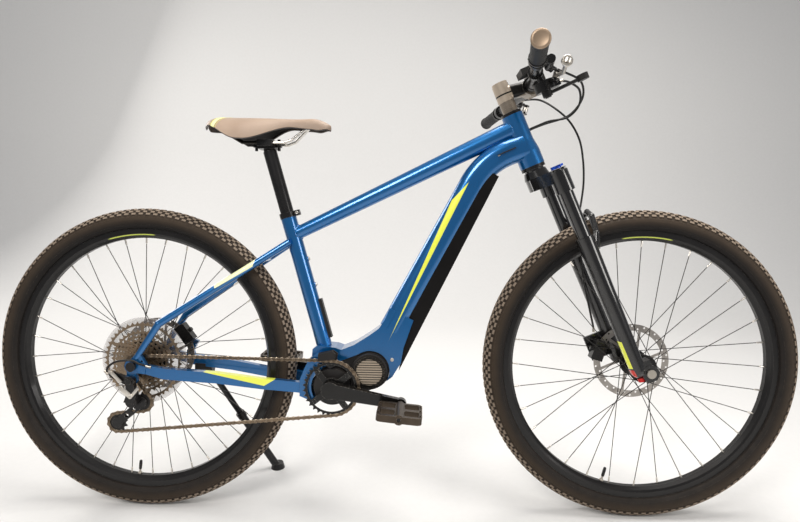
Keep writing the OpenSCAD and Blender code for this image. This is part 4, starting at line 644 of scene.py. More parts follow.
# ---------------------------------------------------------------- mesh code
def loft(bm, rings, around=True, looped=False):
    """Skins a list of rings of points."""
    rows = [[bm.verts.new(p) for p in ring] for ring in rings]
    size = len(rows[0])
    for a in range(len(rows) if looped else len(rows) - 1):
        b = (a + 1) % len(rows)
        for k in range(size if around else size - 1):
            j = (k + 1) % size
            bm.faces.new((rows[a][k], rows[a][j], rows[b][j], rows[b][k]))
    return rows


def lathe(bm, m, profile, n=24, hexed=()):
    """Turns (radius, height) points about m's Z. Points whose index is in hexed follow a hexagon."""
    rings = []
    for i, (radius, height) in enumerate(profile):
        ring = []
        for k in range(n):
            a = math.tau * k / n
            reach = max(radius, 1e-4)
            if i in hexed:
                reach *= math.cos(math.pi / 6) / math.cos(a % (math.pi / 3) - math.pi / 6)
            ring.append(m @ Vector((reach * math.cos(a), reach * math.sin(a), height)))
        rings.append(ring)
    rows = loft(bm, rings)
    for row, (radius, _) in ((rows[0], profile[0]), (rows[-1], profile[-1])):
        if radius < 1e-3:
            bmesh.ops.remove_doubles(bm, verts=row, dist=1e-2)


def round_about(centre, x, y, radius, n):
    """n points of a circle that lies along x and y."""
    turns = [math.tau * k / n for k in range(n)]
    return [centre + (x * math.cos(a) + y * math.sin(a)) * radius for a in turns]


def tube(bm, points, radius, n=10):
    """Sweeps a round section along points and closes its ends."""
    points = [Vector(p) for p in points]
    last = len(points) - 1
    x = (points[1] - points[0]).normalized().cross(Vector((0.13, 0.21, 1))).normalized()
    rings = []
    for i, p in enumerate(points):
        ahead = (points[min(i + 1, last)] - points[max(i - 1, 0)]).normalized()
        x = (x - ahead * x.dot(ahead)).normalized()
        rings.append(round_about(p, x, ahead.cross(x), radius, n))
    rows = loft(bm, rings)
    bm.faces.new(list(reversed(rows[0])))
    bm.faces.new(rows[-1])


def block(bm, m, x, y, z, edge=0.8):
    """A box with rounded edges, centred on m. Bevelled on its own, so that its order is the same each run."""
    box = bmesh.new()
    bmesh.ops.create_cube(box, size=1, matrix=m @ Matrix.Diagonal((x, y, z, 1)))
    bmesh.ops.bevel(box, geom=box.edges[:], offset=edge, segments=2, profile=0.6, affect="EDGES")
    mesh = bpy.data.meshes.new("box")
    box.to_mesh(mesh)
    box.free()
    bm.from_mesh(mesh)
    bpy.data.meshes.remove(mesh)


def bolt(bm, m, d, h, socket=0.5):
    """A cap screw's head with a hexagon socket, standing on m."""
    r = d / 2
    s = r * socket
    floor = h - h * 0.6
    profile = [(r, 0), (r, h - 0.5), (r - 0.45, h), (s + 0.4, h), (s, h - 0.35), (s, floor), (0, floor)]
    lathe(bm, m, profile, 24, (4, 5))


def smooth_line(points, steps):
    """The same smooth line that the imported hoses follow, with more steps."""
    p = [Vector(v) for v in points]
    last = len(p) - 1
    line = []
    for i in range(last):
        a, b, c, d = p[max(i - 1, 0)], p[i], p[i + 1], p[min(i + 2, last)]
        for j in range(steps):
            t = j / steps
            squared, cubed = 2 * a - 5 * b + 4 * c - d, 3 * b - a - 3 * c + d
            line.append(0.5 * ((2 * b) + (c - a) * t + squared * t * t + cubed * t ** 3))
    return line + [p[last]]


def piece(name, bm, place, material, body, sharp=38):
    """Makes the object, sets it in the row frame and lets it ride."""
    bmesh.ops.recalc_face_normals(bm, faces=bm.faces)
    mesh = bpy.data.meshes.new(name)
    bm.to_mesh(mesh)
    bm.free()
    mesh.transform(BIKE @ place)
    mesh.materials.append(material)
    mesh.shade_smooth()
    mesh.set_sharp_from_angle(angle=math.radians(sharp))
    part = bpy.data.objects.new(name, mesh)
    bpy.context.scene.collection.objects.link(part)
    if body:
        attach(part, body)
    return part


def turned(name, m, profile, n, place, material, body, slot, sharp=38):
    """A piece that is one turned profile."""
    bm = bmesh.new()
    lathe(bm, m, profile, n)
    return piece(name, bm, place, material, body, sharp)


def surface(node):
    """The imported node's skin, in bike millimetres, for setting small parts on it."""
    mesh = frame["nodes"][node].data
    corners = [UPRIGHT @ v.co for v in mesh.vertices]
    return BVHTree.FromPolygons(corners, [tuple(f.vertices) for f in mesh.polygons])


def on_side(skin, x, z):
    """The point and outward normal where a line from the right side first meets the skin."""
    point, normal, _, _ = skin.ray_cast(Vector((x, -400, z)), Vector((0, 1, 0)))
    return point, normal


# ---------------------------------------------------------------- hoses
HEAD_HIGH = 655.0    # top of the head tube along the steerer
HOSE_WIDTH = 5.0
SHIFTER = bar_at(240, -1, 6, -50)
FRONT_HOSE = [
    bar_at(232, 1, 27, -4), bar_at(247, 1, 34, -8), (99, 96, 673), (118, 76, 640), (136, 66, 596),
    (141, 62, 546), (131, 62, 496), (112, 60, 446), (88, 56, 404), (66, 50, 372), (58, 47.5, 352),
    (56, 47, 342)]
LOWER_HOSE = [
    (56, 47, 341.5), (50, 44, 320), (34, 41.5, 280), (18, 42, 220), (6, 44, 150), (0, 47, 112),
    (-4, 48, 98)]
REAR_BRAKE_HOSE = [
    bar_at(232, -1, 27, -4), bar_at(247, -1, 36, -6), (119, -90, 683), (155, -52, 657), (155, -20, 625),
    (118, -6, HEAD_HIGH - 52), (70, 14, HEAD_HIGH - 47), (46, 11, HEAD_HIGH - 46), (24, 10, HEAD_HIGH - 46)]
SHIFT_CABLE = [
    SHIFTER + Vector((35, 20, 16)), SHIFTER + Vector((46, 26, 16)), (123, -80, 661), (143, -58, 641),
    (137, -38, 613), (108, -24, HEAD_HIGH - 56), (70, -14, HEAD_HIGH - 47), (46, -11, HEAD_HIGH - 46),
    (24, -10, HEAD_HIGH - 46)]
SHIFT_HOUSING = [
    (44, -81, -2), (20, -86.6, 7), (5, -90.5, 15.5), (-14, -93, 16), (-34, -94, 12), (-50, -93, 0),
    (-54, -91.5, -12), (-51, -91.2, -17)]


def hose(name, knots, place, node, body=None, bend=None):
    """A round hose through the knots. bend is (body, other body, where it starts, where it ends); only
    whether it is given is read: with a bend, the hose rides no body and its place is baked into its mesh.
    """
    points = smooth_line(knots, 9)
    bm = bmesh.new()
    tube(bm, points, HOSE_WIDTH / 2, 14)
    line = piece(name, bm, place, HOSE_JACKET, body, 60)
    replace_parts(line, node)
    if bend:
        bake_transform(line)
    return points


FRONT_BEND = ("steering", "fork_lowers", (141, 62, 560), (58, 47, 352))
REAR_BEND = ("steering", "frame", (126, -30, 640), (60, 13, HEAD_HIGH - 47))
SHIFT_BEND = ("steering", "frame", (126, -40, 640), (60, -13, HEAD_HIGH - 47))
ROUTED = {
    "front_brake_hose": hose("front_brake_hose", FRONT_HOSE, STEER, "front_hose", bend=FRONT_BEND),
    "fork_leg_hose": hose("fork_leg_hose", LOWER_HOSE, STEER, "lower_hose", body="fork_lowers"),
    "rear_brake_hose": hose("rear_brake_hose", REAR_BRAKE_HOSE, STEER, "frame_cables", bend=REAR_BEND),
    "shift_cable": hose("shift_cable", SHIFT_CABLE, STEER, "frame_cables", bend=SHIFT_BEND),
    "mech_cable": hose("mech_cable", SHIFT_HOUSING, HERE, "shift_housing", body="frame"),
}


# ---------------------------------------------------------------- tyres
# Rows of knobs: angle round the section, width, length, shift in knobs, height.
TREAD = ((9.2, 7.6, 12.0, 0.0, 2.35), (26.0, 6.6, 11.0, 0.5, 2.4), (41.0, 6.2, 11.4, 0.0, 2.45),
         (55.5, 5.6, 12.4, 0.5, 2.5))
KNOBS = 126
TREAD_RADIUS = 362.0
BEAD = [(12.0, 311.6), (12.2, 316.4), (15.2, 317.5)]
TYRE_STEPS = 216


def held(value, low=0.0, high=1.0):
    return min(max(value, low), high)


def across_section(phi, rho):
    """Half width and radius at an angle round the tyre's section, 0 at the crown."""
    return rho * math.sin(math.radians(phi)), TYRE_RING + rho * math.cos(math.radians(phi))


def carcass(phi):
    k = held((abs(phi) - 56) / 34)
    rho = CARCASS + 1.5 * k * k * (3 - 2 * k) - 1.2 * held((abs(phi) - 104) / 26)
    for rib in (70, 74, 112, 117):
        rho += 0.35 * max(0, 1 - abs(abs(phi) - rib) / 1.3)
    return across_section(phi, rho)


def knob(bm, x, turn, phi, wide, long, tall):
    """One knob: a foot sunk into the carcass and a smaller top."""
    foot, top = [], []
    for along_part, across_part in ((-0.5, -0.5), (0.5, -0.5), (0.5, 0.5), (-0.5, 0.5)):
        for ring, grow, size in ((foot, -0.6, 1.0), (top, tall, 0.80)):
            lean = phi + math.copysign(math.degrees(wide / CARCASS), phi) * across_part * size
            w, r = across_section(lean, CARCASS)
            w += grow * math.sin(math.radians(lean))
            r += grow * math.cos(math.radians(lean))
            a = turn + long * along_part * size / TREAD_RADIUS
            ring.append(bm.verts.new((x + r * math.cos(a), w, r * math.sin(a))))
    bm.faces.new(top)
    for i in range(4):
        j = (i + 1) % 4
        bm.faces.new((foot[i], foot[j], top[j], top[i]))


def tyre(name, x, material, body, node):
    half = [carcass(-130 + 2.0 * k) for k in range(131)]
    profile = BEAD + [(-w, r) for w, r in half] + [(-w, r) for w, r in reversed(BEAD)]
    bm = bmesh.new()
    turns = [math.tau * k / TYRE_STEPS for k in range(TYRE_STEPS)]
    rings = [[Vector((x + r * math.cos(a), w, r * math.sin(a))) for w, r in profile] for a in turns]
    loft(bm, rings, around=False, looped=True)
    for phi, wide, long, shift, tall in TREAD:
        for side in (-1, 1):
            for k in range(KNOBS):
                turn = math.tau * (k + shift + random.uniform(-0.03, 0.03)) / KNOBS
                knob(bm, x, turn, side * phi, wide, long, tall)
    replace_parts(piece(name, bm, HERE, material, body, 30), node)


tyre("front_tyre_tread", WHEELBASE, FRONT_RUBBER, "front_wheel", "front_tyre")
tyre("rear_tyre_tread", 0.0, REAR_RUBBER, "rear_wheel", "rear_tyre")


VALVE_CAP = [(2.6, 17), (2.7, 18), (3.6, 18.2), (3.8, 31), (3.3, 38.5), (2.2, 40.0), (0, 40.2)]
VALVE_FOOT = 300
VALVE_STEM = [(2.9, -3), (2.9, 6.2), (5.0, 6.2), (5.2, 6.8), (5.2, 8.6), (4.8, 9.2), (2.9, 9.2), (2.5, 9.6),
              (2.5, 18)]


def valve(name, x, a, body):
    """A valve that stands inward from the rim, at an angle a round the wheel."""
    out = Vector((-math.cos(a), 0, -math.sin(a)))
    foot = Vector((x + VALVE_FOOT * math.cos(a), 0, VALVE_FOOT * math.sin(a)))
    m = along(foot, foot + out)
    turned(name + "_cap", m, VALVE_CAP, 16, HERE, BLACK_PLASTIC, body, "black_plastic")
    turned(name, m, VALVE_STEM, 18, HERE, STEEL, body, "steel")


valve("rear_valve", 0.0, math.atan2(-263.8, -28.8), "rear_wheel")
valve("front_valve", WHEELBASE, math.atan2(-268.1, -71.8), "front_wheel")


# ---------------------------------------------------------------- saddle
# v runs from 0 at the saddle's tail to 1 at its nose.
TAIL, SADDLE_LONG, SADDLE_HIGH = 158.67, 290, 575.69
REAR_HALF, NOSE_HALF = 73, 19.5
SEAM, SEAM_BEND, SEAM_HALF = 191, 40, 72    # the rear panel's edge, how far it bends and over what width


def ease(a, b, v):
    k = held((v - a) / (b - a))
    return k * k * (3 - 2 * k)


def saddle_half(v):
    v = held(v)
    body = REAR_HALF + (NOSE_HALF - REAR_HALF) * ease(0.26, 0.74, v)
    tail = math.sqrt(1 - (1 - min(v / 0.24 + 0.02, 1)) ** 2.6)
    return body * tail * math.sqrt(max(1 - max((v - 0.9) / 0.1, 0) ** 2 * 0.93, 0.02))


def saddle_top(v):
    return SADDLE_HIGH - 9 * (1 - min(v / 0.16, 1)) ** 2 - 15 * max((v - 0.84) / 0.16, 0) ** 2


def saddle_low(v):
    edge = 13 + 5 * (1 - ease(0, 0.12, v))
    wing = 41 * ease(0, 0.3, v) * (1 - ease(0.34, 0.72, v))
    return saddle_top(v) - edge - wing - 14 * ease(0.4, 0.9, v) * (1 - ease(0.9, 1, v))


def saddle_point(v, a):
    """A point of the cover, at an angle a over it, with a shallow relief channel in the middle."""
    c = math.cos(math.radians(a))
    k = abs(c) ** 3.2
    z = saddle_top(v) * (1 - k) + saddle_low(v) * k
    w = saddle_half(v)
    channel = math.exp(-((c * w) / 9.0) ** 2) * ease(0.12, 0.3, v) * (1 - ease(0.72, 0.9, v))
    return Vector((TAIL + SADDLE_LONG * v, -w * c, z - 2.6 * channel))


def saddle_leather():
    """Warm tan on top and near black below, painted light and shade by the way each face points, with a
    bright seam round the rear panel and a fold beside it darkened with painted shade.
    """
    skin, tree, shader = finish("saddle cover leather", Sheen_Weight=0.25)
    place = use(tree, BIKE_PLACE)[0]
    x, across, _ = add(tree, "SeparateXYZ", {0: place}).outputs
    rough, height, cloud = grain(tree, 1.3, 0.46)
    # painted light and shade: the cover is lighter where it faces up and near black where it faces down
    up = add(tree, "SeparateXYZ", {0: add(tree, "TexCoord").outputs["Normal"]}).outputs[2]
    lit = maths(tree, "MULTIPLY_ADD", up, 1.15, 0.32, clamp=True)
    top = between(tree, cloud, (0.24, 0.160, 0.108), (0.36, 0.255, 0.180))
    colour = mixed(tree, lit, rgb(0.020, 0.012, 0.008), top)
    part = maths(tree, "DIVIDE", maths(tree, "ABSOLUTE", across), SEAM_HALF)
    inside = maths(tree, "POWER", maths(tree, "SUBTRACT", 1.0, part, clamp=True), 2.0)
    seam = maths(tree, "MULTIPLY_ADD", inside, SEAM_BEND, SEAM)
    off = maths(tree, "ABSOLUTE", maths(tree, "SUBTRACT", x, seam))
    colour = mixed(tree, band(tree, off, -10.0, 4.6, 0.5), colour, rgb(0.88, 0.90, 0.36))
    # painted shade in the fold beside the seam: a narrow darker line, also sunk by the bump below
    fold = band(tree, off, 4.6, 5.6, 0.4)
    colour = mixed(tree, maths(tree, "MULTIPLY", fold, 0.7), colour, rgb(0.10, 0.07, 0.05))
    colour = dusted(tree, colour, 0.06, (0.45, 0.37, 0.29))[0]
    pores = add(tree, "TexVoronoi", {"Vector": place, "Scale": 0.9}, feature="DISTANCE_TO_EDGE")
    crease = maths(tree, "MULTIPLY", maths(tree, "MINIMUM", pores.outputs["Distance"], 0.25), 4.0)
    relief = maths(tree, "ADD", crease, maths(tree, "MULTIPLY", height, 0.4))
    relief = maths(tree, "SUBTRACT", relief, maths(tree, "MULTIPLY", fold, 2.0))
    wire(tree, shader, colour, rough, relief, 0.22, 0.0004)
    return skin


def lip(ring, side):
    """Three points that turn a ring's end in under the saddle's edge, outermost first."""
    p = ring[0] if side < 0 else ring[-1]
    w = abs(p.y)
    turns = ((0.9, 0.2, 1.5), (3.0, 0.4, 2.1), (7.0, 0.7, 0.6))
    return [Vector((p.x, side * (w - min(most, w * part)), p.z - drop)) for most, part, drop in turns]


def closing(ring, way):
    """Smaller rings that close the saddle's tail or nose, largest first."""
    mid = sum(ring, Vector()) / len(ring)
    return [[mid + (p - mid) * k + Vector((way * out, 0, 0)) for p in ring]
            for k, out in ((0.90, 1.0), (0.6, 1.9), (0.2, 2.3))]


def saddle():
    stops = [0.012 * k for k in range(9)] + [0.1 + 0.018 * k for k in range(48)] + [0.965, 0.98, 0.992, 1.0]
    rings = []
    for v in stops:
        over = [saddle_point(v, 180 * k / 44) for k in range(45)]
        rings.append(lip(over, -1)[::-1] + over + lip(over, 1))
    rings = closing(rings[0], -1)[::-1] + rings + closing(rings[-1], 1)
    bm = bmesh.new()
    loft(bm, rings, around=False)
    bmesh.ops.remove_doubles(bm, verts=bm.verts, dist=0.02)
    cover = piece("saddle_padding", bm, HERE, saddle_leather(), None, 180)
    smooth = cover.modifiers.new("subdivision", "SUBSURF")
    smooth.levels = smooth.render_levels = 1
    solid = cover.modifiers.new("cover thickness", "SOLIDIFY")
    solid.thickness, solid.offset = 0.0016, -1
    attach(cover, "seatpost")
    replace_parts(cover, "saddle_cover")


def seam_point(edge, side, k):
    """The place of stitch k beside the seam, just clear of the cover."""
    a = 90 + side * k * 1.42
    w = 60 * abs(math.cos(math.radians(a)))
    x = SEAM + edge + SEAM_BEND * max(1 - w * 1.02 / SEAM_HALF, 0) ** 2
    return saddle_point((x - TAIL) / SADDLE_LONG, a) + Vector((0, side * 0.12, 0.12))


def stitches():
    bm = bmesh.new()
    for side in (-1, 1):
        for edge in (-6.6, 6.6):
            for k in range(0, 60, 2):
                a, b = seam_point(edge, side, k), seam_point(edge, side, k + 1)
                tube(bm, [a, (a + b) / 2 + Vector((0, 0, 0.22)), b], 0.35, 5)
    piece("saddle_stitches", bm, HERE, NEON_TRIM, "seatpost", 60)


saddle()
stitches()


# ---------------------------------------------------------------- grips and bar ends
GRIP_FLANGE = [(11.15, -1.2), (16.2, -1.2), (16.9, -0.4), (16.9, 2.2), (16.2, 3.2)]
GRIP_RIB = [(14.4, 0.2), (14.4, 1.1), (15.45, 1.5), (15.5, 3.6), (15.0, 4.0)]
GRIP_NECK = [(14.6, 118.5), (14.6, 119.0)]
RIBS, RIB_STEP = 27, 4.25
COLLAR = [(11.15, 119.0), (17.0, 119.0), (17.5, 119.6), (17.5, 124.3), (17.0, 124.9), (11.15, 124.9)]
COLLAR_SCREW = [(0, -4), (2.4, -4), (2.4, 0.6), (2.0, 1.0), (1.2, 1.0), (1.2, -1), (0, -1)]
BAR_PLUG = [(0, -1.9), (11.5, -2.0), (12.3, -2.4), (13.2, -2.4), (14.2, -2.0), (16.2, -1.6), (16.7, -0.9),
            (16.7, -0.6), (10, -0.6)]


def grips():
    ribs = [(r, 3.2 + RIB_STEP * k + rise) for k in range(RIBS) for r, rise in GRIP_RIB]
    for side, word in ((-1, "right"), (1, "left")):
        m = along(bar_at(0, side), bar_at(100, side))
        profile = GRIP_FLANGE + ribs + GRIP_NECK
        grip = turned(f"{word}_grip", m, profile, 48, STEER, GRIP_RUBBER, "steering", "grip_rubber", 30)
        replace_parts(grip, "grips")
        bm = bmesh.new()
        lathe(bm, m, COLLAR, 48)
        ring = bar_at(122, side)
        lathe(bm, along(ring + Vector((-16.8, 0, 4)), ring + Vector((-30, 0, 4))), COLLAR_SCREW, 16, (4, 5))
        piece(f"{word}_grip_collar", bm, STEER, BLACK_ALLOY, "steering")
        turned(f"{word}_bar_end", m, BAR_PLUG, 48, STEER, WARM_ALLOY, "steering", "alloy", 50)


grips()


# ---------------------------------------------------------------- chain
PITCH = 12.7
CAGE_PIVOT, CAGE_TURN = Vector((2, -80)), 3.712


def on_cage(x, z):
    """A point of the cage, turned with it about its pivot."""
    c, s = math.cos(math.radians(CAGE_TURN)), math.sin(math.radians(CAGE_TURN))
    return CAGE_PIVOT + Vector((x * c - z * s, x * s + z * c))


# The wheels in the order the chain meets them: centre, teeth, way round, how far to the side.
WHEELS = (
    (Vector((0, 0)), 11, -1, -67),          # smallest cog
    (Vector(CRANK_AXLE), 32, -1, -55),      # chainring
    (on_cage(-50.4, -54.4), 11, -1, -67),   # lower jockey wheel
    (on_cage(13.3, -8.9), 11, 1, -67),      # upper jockey wheel
)
# Where on each run the chain drifts to the side, as parts of the run: where it starts and over how much.
DRIFTS = ((0.12, 0.82), (0.04, 0.84), (0, 1), (0, 1))


def pitch_radius(teeth):
    return PITCH / 2 / math.sin(math.pi / teeth)


def run_between(one, other):
    """The heading in degrees and the length in links of the straight run from wheel to wheel."""
    apart = other[0] - one[0]
    step = other[2] * pitch_radius(other[1]) - one[2] * pitch_radius(one[1])
    head = math.degrees(math.atan2(apart.y, apart.x)) - math.degrees(math.asin(step / apart.length))
    return head, math.sqrt(apart.length ** 2 - step * step) / PITCH


NEXT = WHEELS[1:] + WHEELS[:1]
RUNS = [run_between(one, other) for one, other in zip(WHEELS, NEXT)]
# Links counted to each end of a run: the first run starts at 0, its wheel begins at MARKS[1], and so on.
MARKS = [0.0]
for (head_in, links), (head_out, _), (_, teeth, way, _) in zip(RUNS, RUNS[1:] + RUNS[:1], NEXT):
    MARKS.append(MARKS[-1] + links)
    MARKS.append(MARKS[-1] + way * (head_out - head_in) % 360 * teeth / 360)
LINKS = 2 * round(MARKS[-1] / 2)


def on_wheel(wheel, angle, side):
    a, r = math.radians(angle), pitch_radius(wheel[1])
    return Vector((wheel[0].x + r * math.cos(a), side, wheel[0].y + r * math.sin(a)))


def pin(number):
    """Where a pin is. Pins are counted from where the chain leaves the cog."""
    u = number % LINKS
    i = min(sum(u >= mark for mark in MARKS[2::2]), 3)
    head, links = RUNS[i]
    wheel, after = WHEELS[i], NEXT[i]
    done = u - MARKS[2 * i]
    if done >= links:
        turn = (done - links) * 360 / after[1]
        return on_wheel(after, head + after[2] * (turn - 90), after[3])
    lead, span = DRIFTS[i]
    side = wheel[3] + (after[3] - wheel[3]) * held((done / links - lead) / span)
    a = math.radians(head)
    ahead = Vector((math.cos(a), 0, math.sin(a)))
    return on_wheel(wheel, head - 90 * wheel[2], side) + ahead * done * PITCH


PLATE_HALF, WAIST_HALF, PLATE_THICK = 4.1, 3.0, 0.8
ROLLER = [(2.4, -1.05), (3.85, -1.05), (3.85, 1.05), (2.4, 1.05)]
RIVET = [(0, -2.95), (1.6, -2.95), (1.8, -2.75), (1.8, 2.75), (1.6, 2.95), (0, 2.95)]


def link_plate(bm, a, b, y):
    """A waisted plate with rounded edges from pin to pin, at y to the side."""
    length = (b - a).length
    x = (b - a).normalized()
    side = Vector((0, 1, 0))
    side = (side - x * side.dot(x)).normalized()
    up = side.cross(x)
    turns = [math.radians(90 + 30 * k) for k in range(7)]
    half = [(PLATE_HALF * math.cos(t), PLATE_HALF * math.sin(t)) for t in turns]
    half += [(length / 2 - 1.6, -WAIST_HALF), (length / 2 + 1.6, -WAIST_HALF)]
    outline = half + [(length - px, -pz) for px, pz in half]
    rings = []
    for inset, h in ((0.35, 0), (0, 0.22), (0, PLATE_THICK - 0.22), (0.35, PLATE_THICK)):
        k = 1 - inset / PLATE_HALF
        ring = []
        for px, pz in outline:
            middle = 0 if px < 2 else (length if px > length - 2 else px)
            ring.append(a + x * (middle + (px - middle) * k) + up * pz * k + side * (y + h))
        rings.append(ring)
    rows = loft(bm, rings)
    bm.faces.new(rows[0])
    bm.faces.new(list(reversed(rows[-1])))


def chain_part(name, first, last, body=None, bend=None):
    """The links from pin first to pin last, with their rollers and rivets."""
    bm = bmesh.new()
    for i in range(first, last):
        a, b = pin(i), pin(i + 1)
        wide = 1.95 if i % 2 == 0 else 1.1
        for y in (wide, -wide - PLATE_THICK):
            link_plate(bm, a, b, y)
        m = Matrix.Translation(a) @ Matrix.Rotation(math.radians(90), 4, "X")
        lathe(bm, m, ROLLER, 14)
        lathe(bm, m, RIVET, 10)
    part = piece(name, bm, HERE, CHAIN_STEEL, body, 35)
    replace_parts(part, "chain")
    if bend:
        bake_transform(part)


ring_out, jockey_in = math.ceil(MARKS[2]), math.floor(MARKS[3])
jockey_out, cog_in = math.ceil(MARKS[6]), math.ceil(MARKS[7])
chain_part("chain_drive_run", 0, ring_out, body="frame")
chain_part("chain_return_run", ring_out, jockey_in, bend=((130, -60, -125), (-20, -66, -155)))
chain_part("chain_on_jockeys", jockey_in, jockey_out, body="jockey_cage")
chain_part("chain_short_run", jockey_out, cog_in, bend=(pin(cog_in), pin(jockey_out)))
chain_part("chain_on_cog", cog_in, LINKS, body="frame")


# ---------------------------------------------------------------- weld beads
BEAD_HALF, BEAD_RIPPLE = 1.7, 0.13


def weld_bead(name, start, way, radius, other):
    """A rippled bead round a tube where it runs into the other tube's skin."""
    skin = surface(other)
    m = along(start, start + way, roll=(0, 1, 0))
    feet = []
    for k in range(96):
        a = math.tau * k / 96
        feet.append(skin.ray_cast(m @ Vector((radius * math.cos(a), radius * math.sin(a), 0)), way)[0])
    mid = sum(feet, Vector()) / len(feet)
    rings = []
    for k in range(len(feet) * 3):
        before, here, after = (feet[(k // 3 + step) % len(feet)] for step in (-1, 0, 1))
        ahead = (after - before).normalized()
        p = here.lerp(after, k % 3 / 3)
        out = (p - mid).normalized()
        out = (out - ahead * out.dot(ahead)).normalized()
        ripple = 1 + BEAD_RIPPLE * math.sin(k * math.tau / 6)
        rings.append(round_about(p, out, ahead.cross(out), BEAD_HALF * ripple, 8))
    bm = bmesh.new()
    loft(bm, rings, looped=True)
    piece(name, bm, HERE, LACQUER, "frame", 80)


TOP_REAR, TOP_HEAD = SEAT @ Vector((-2, 0, 367)), STEER @ Vector((2, 0, 626))
TOP_WAY = (TOP_HEAD - TOP_REAR).normalized()
weld_bead("top_tube_front_weld", TOP_REAR + TOP_WAY * 300, TOP_WAY, 20.0, "head_tube")
weld_bead("top_tube_rear_weld", TOP_REAR + TOP_WAY * 120, -TOP_WAY, 16.2, "seat_tube")


# ---------------------------------------------------------------- bolts and small parts
def screws(name, body, place, heads, d, h, material=BRIGHT_ALLOY):
    """Cap screws of one size. heads are (point, outward way)."""
    bm = bmesh.new()
    for point, way in heads:
        bolt(bm, along(point, Vector(point) + Vector(way)), d, h)
    piece(name, bm, place, material, body)


DOWN_TUBE = surface("down_tube")
CRADLE, CRADLE_WAY = on_side(DOWN_TUBE, 597.5, 11.2)
PIVOTS = [bar_at(216, side, 33, -27) + Vector((0, 0, 6.5)) for side in (-1, 1)]
CLAMP = [((76, y, t), (1, 0, 0)) for y in (-15, 15) for t in (679, 715)]
screws("stem_bolts", "steering", STEER, CLAMP, 7, 3)
screws("top_cap_bolt", "steering", STEER, [((0, 0, 732), (0, 0, 1))], 9, 3.4)
screws("seat_collar_bolt", "frame", SEAT, [((25, -12.6, 416.5), (0, -1, 0))], 8, 2.2)
screws("cradle_bolts", "frame", HERE, [(CRADLE - CRADLE_WAY * 0.4, CRADLE_WAY)], 8.5, 2.6)
screws("bottle_boss_bolts", "frame", SEAT, [((20, 0, t), (1, 0, 0)) for t in (240, 304)], 8, 2.8)
screws("lever_pivots", "steering", STEER, [(p, (0.3, 0, 1)) for p in PIVOTS], 6, 2.0, STEEL)


def cable_port():
    """The slotted port where the lines enter the frame, with its screw."""
    (a, _), (b, normal) = on_side(DOWN_TUBE, 842, 489), on_side(DOWN_TUBE, 872, 502)
    m = along(a, b, roll=normal)
    m.translation = (a + b) / 2
    bm = bmesh.new()
    block(bm, m, 2.4, 9.5, (b - a).length + 12, 1.1)
    piece("cable_port", bm, HERE, BLACK_PLASTIC, "frame")
    way = m.to_3x3() @ Vector((1, 0, 0))
    way = way if way.y < 0 else -way
    screws("cable_port_screw", "frame", HERE, [(a - (b - a).normalized() * 3 + way, way)], 6, 1.8)


cable_port()
FERRULE = [(2.45, 0), (3.3, 0), (3.3, 5), (3.0, 5.5), (3.0, 11), (2.6, 12), (2.45, 12)]


def ferrule(line, end, place, body):
    """A crimped sleeve on a line's first end, 1, or its last end, 2."""
    points = ROUTED[line] if end == 1 else ROUTED[line][::-1]
    turned(f"{line}_ferrule_{end}", along(points[0], points[2]), FERRULE, 18, place, STEEL, body, "steel")


ferrule("front_brake_hose", 1, STEER, "steering")
ferrule("fork_leg_hose", 2, STEER, "fork_lowers")
ferrule("rear_brake_hose", 1, STEER, "steering")
ferrule("shift_cable", 1, STEER, "steering")
ferrule("mech_cable", 1, HERE, "frame")
ferrule("mech_cable", 2, HERE, "frame")
EYE = [(4.4, 0), (9.6, 0), (10.6, 0.8), (10.6, 4.4), (9.6, 5.2), (5.2, 5.2), (4.4, 4.4), (4.4, 0)]


def lever_eye():
    """The round eye at the right lever's end."""
    tip = bar_at(98, -1, 43, -31)
    m = along(tip + Vector((0, 3.0, 0)), tip + Vector((0, -10, 0)))
    turned("right_lever_eye", m, EYE, 36, STEER, BRIGHT_ALLOY, "right_brake_lever", "alloy")


lever_eye()
LINK_LINE = -99.6    # how far to the side the rear mech's links lie
LINKAGE = (((-20, -43), (4, -66), 11), ((4, -67), (21, -47), 7), ((-42, -7), (-19, -31), 8))
LINK_PINS = ((-16, -44, 9), (4, -64, 10), (-39, -9, 7))


def mech_plates():
    """The bright links on the outside of the rear mech, with their pins."""
    bm = bmesh.new()
    for (x0, z0), (x1, z1), wide in LINKAGE:
        p, q = Vector((x0, LINK_LINE, z0)), Vector((x1, LINK_LINE, z1))
        m = along(p, q, roll=(0, 1, 0))
        m.translation = (p + q) / 2
        block(bm, m, wide, 2.6, (q - p).length + 5, 1.0)
    for x, z, d in LINK_PINS:
        bolt(bm, along((x, LINK_LINE - 0.8, z), (x, -110, z)), d, 3.0)
    for x, z, _ in LINK_PINS:
        lathe(bm, along((x, -92, z), (x, -99, z)), [(3.2, 0), (3.2, 8)], 14)
    piece("mech_plates", bm, HERE, BRIGHT_ALLOY, "frame")


mech_plates()

# ---------------------------------------------------------------- floor and light
WALL, SWEEP, WALL_HIGH, HALF_WIDE = 1.6, 1.2, 5.0, 7.0
SKY, SKY_STRENGTH = (0.93, 0.95, 1.0, 1), 0.26
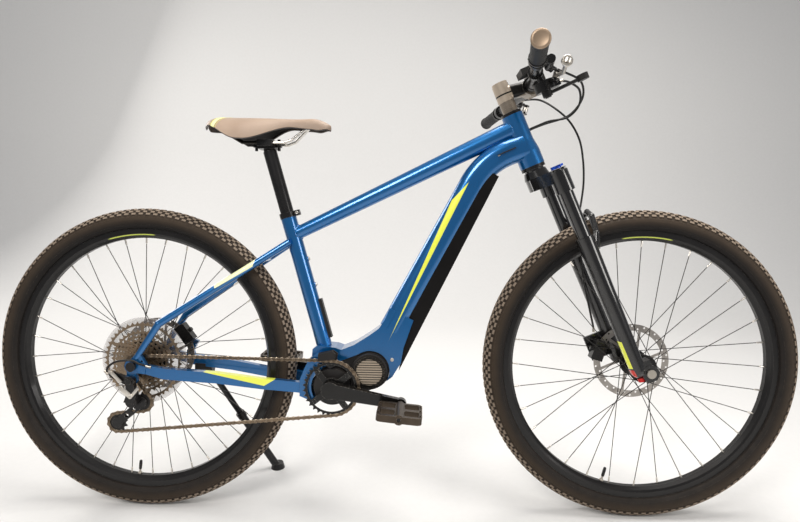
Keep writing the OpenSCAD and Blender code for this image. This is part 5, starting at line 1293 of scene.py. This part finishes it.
# Lamps: name, place, what they look at, size, power.
LAMPS = (
    ("key", (-1.2, -2.4, 2.9), (0, 0, 0.45), 1.2, 66),
    ("over", (0.5, 0.1, 2.6), (0, 0, 0.5), 1.5, 66),
    ("side", (2.8, -1.6, 1.4), (0.2, 0, 0.5), 1.0, 26),
    ("rear", (-2.6, 1.8, 1.8), (0, 0, 0.5), 1.2, 30),
)


def backdrop_paint():
    """Pale grey, and clear when it is seen from behind."""
    skin, tree, shader = finish("studio floor", Roughness=0.8)
    place = add(tree, "TexCoord").outputs["Object"]
    cloud = add(tree, "TexNoise", {"Vector": place, "Scale": 60.0, "Detail": 3.0}).outputs[0]
    wire(tree, shader, between(tree, cloud, (0.74, 0.735, 0.725), (0.78, 0.775, 0.765)))
    tree.links.new(add(tree, "NewGeometry").outputs["Backfacing"], shader.inputs["Alpha"])
    return skin


def backdrop():
    """A floor that sweeps up into a wall behind the bike."""
    curve = [(WALL + SWEEP * math.sin(math.radians(a)), SWEEP - SWEEP * math.cos(math.radians(a)))
             for a in range(10, 91, 10)]
    profile = [(-WALL_HIGH, 0), (WALL, 0)] + curve + [(WALL + SWEEP, WALL_HIGH)]
    bm = bmesh.new()
    loft(bm, [[Vector((x, y, z)) for y, z in profile] for x in (-HALF_WIDE, HALF_WIDE)], around=False)
    mesh = bpy.data.meshes.new("floor")
    bm.to_mesh(mesh)
    bm.free()
    mesh.materials.append(backdrop_paint())
    mesh.shade_smooth()
    floor = bpy.data.objects.new("floor", mesh)
    bpy.context.scene.collection.objects.link(floor)


def lights():
    world = bpy.data.worlds.new("studio")
    bpy.context.scene.world = world
    world.use_nodes = True
    sky = world.node_tree.nodes["Background"].inputs
    sky["Color"].default_value = SKY
    sky["Strength"].default_value = SKY_STRENGTH
    for name, place, look, size, power in LAMPS:
        lamp = bpy.data.lights.new(name, "AREA")
        lamp.shape, lamp.size, lamp.energy = "SQUARE", size, power
        lamp.color = (1.0, 0.97, 0.93)
        stand = bpy.data.objects.new(name, lamp)
        stand.location = place
        stand.rotation_euler = (Vector(look) - Vector(place)).to_track_quat("-Z", "Y").to_euler()
        bpy.context.scene.collection.objects.link(stand)


backdrop()
lights()
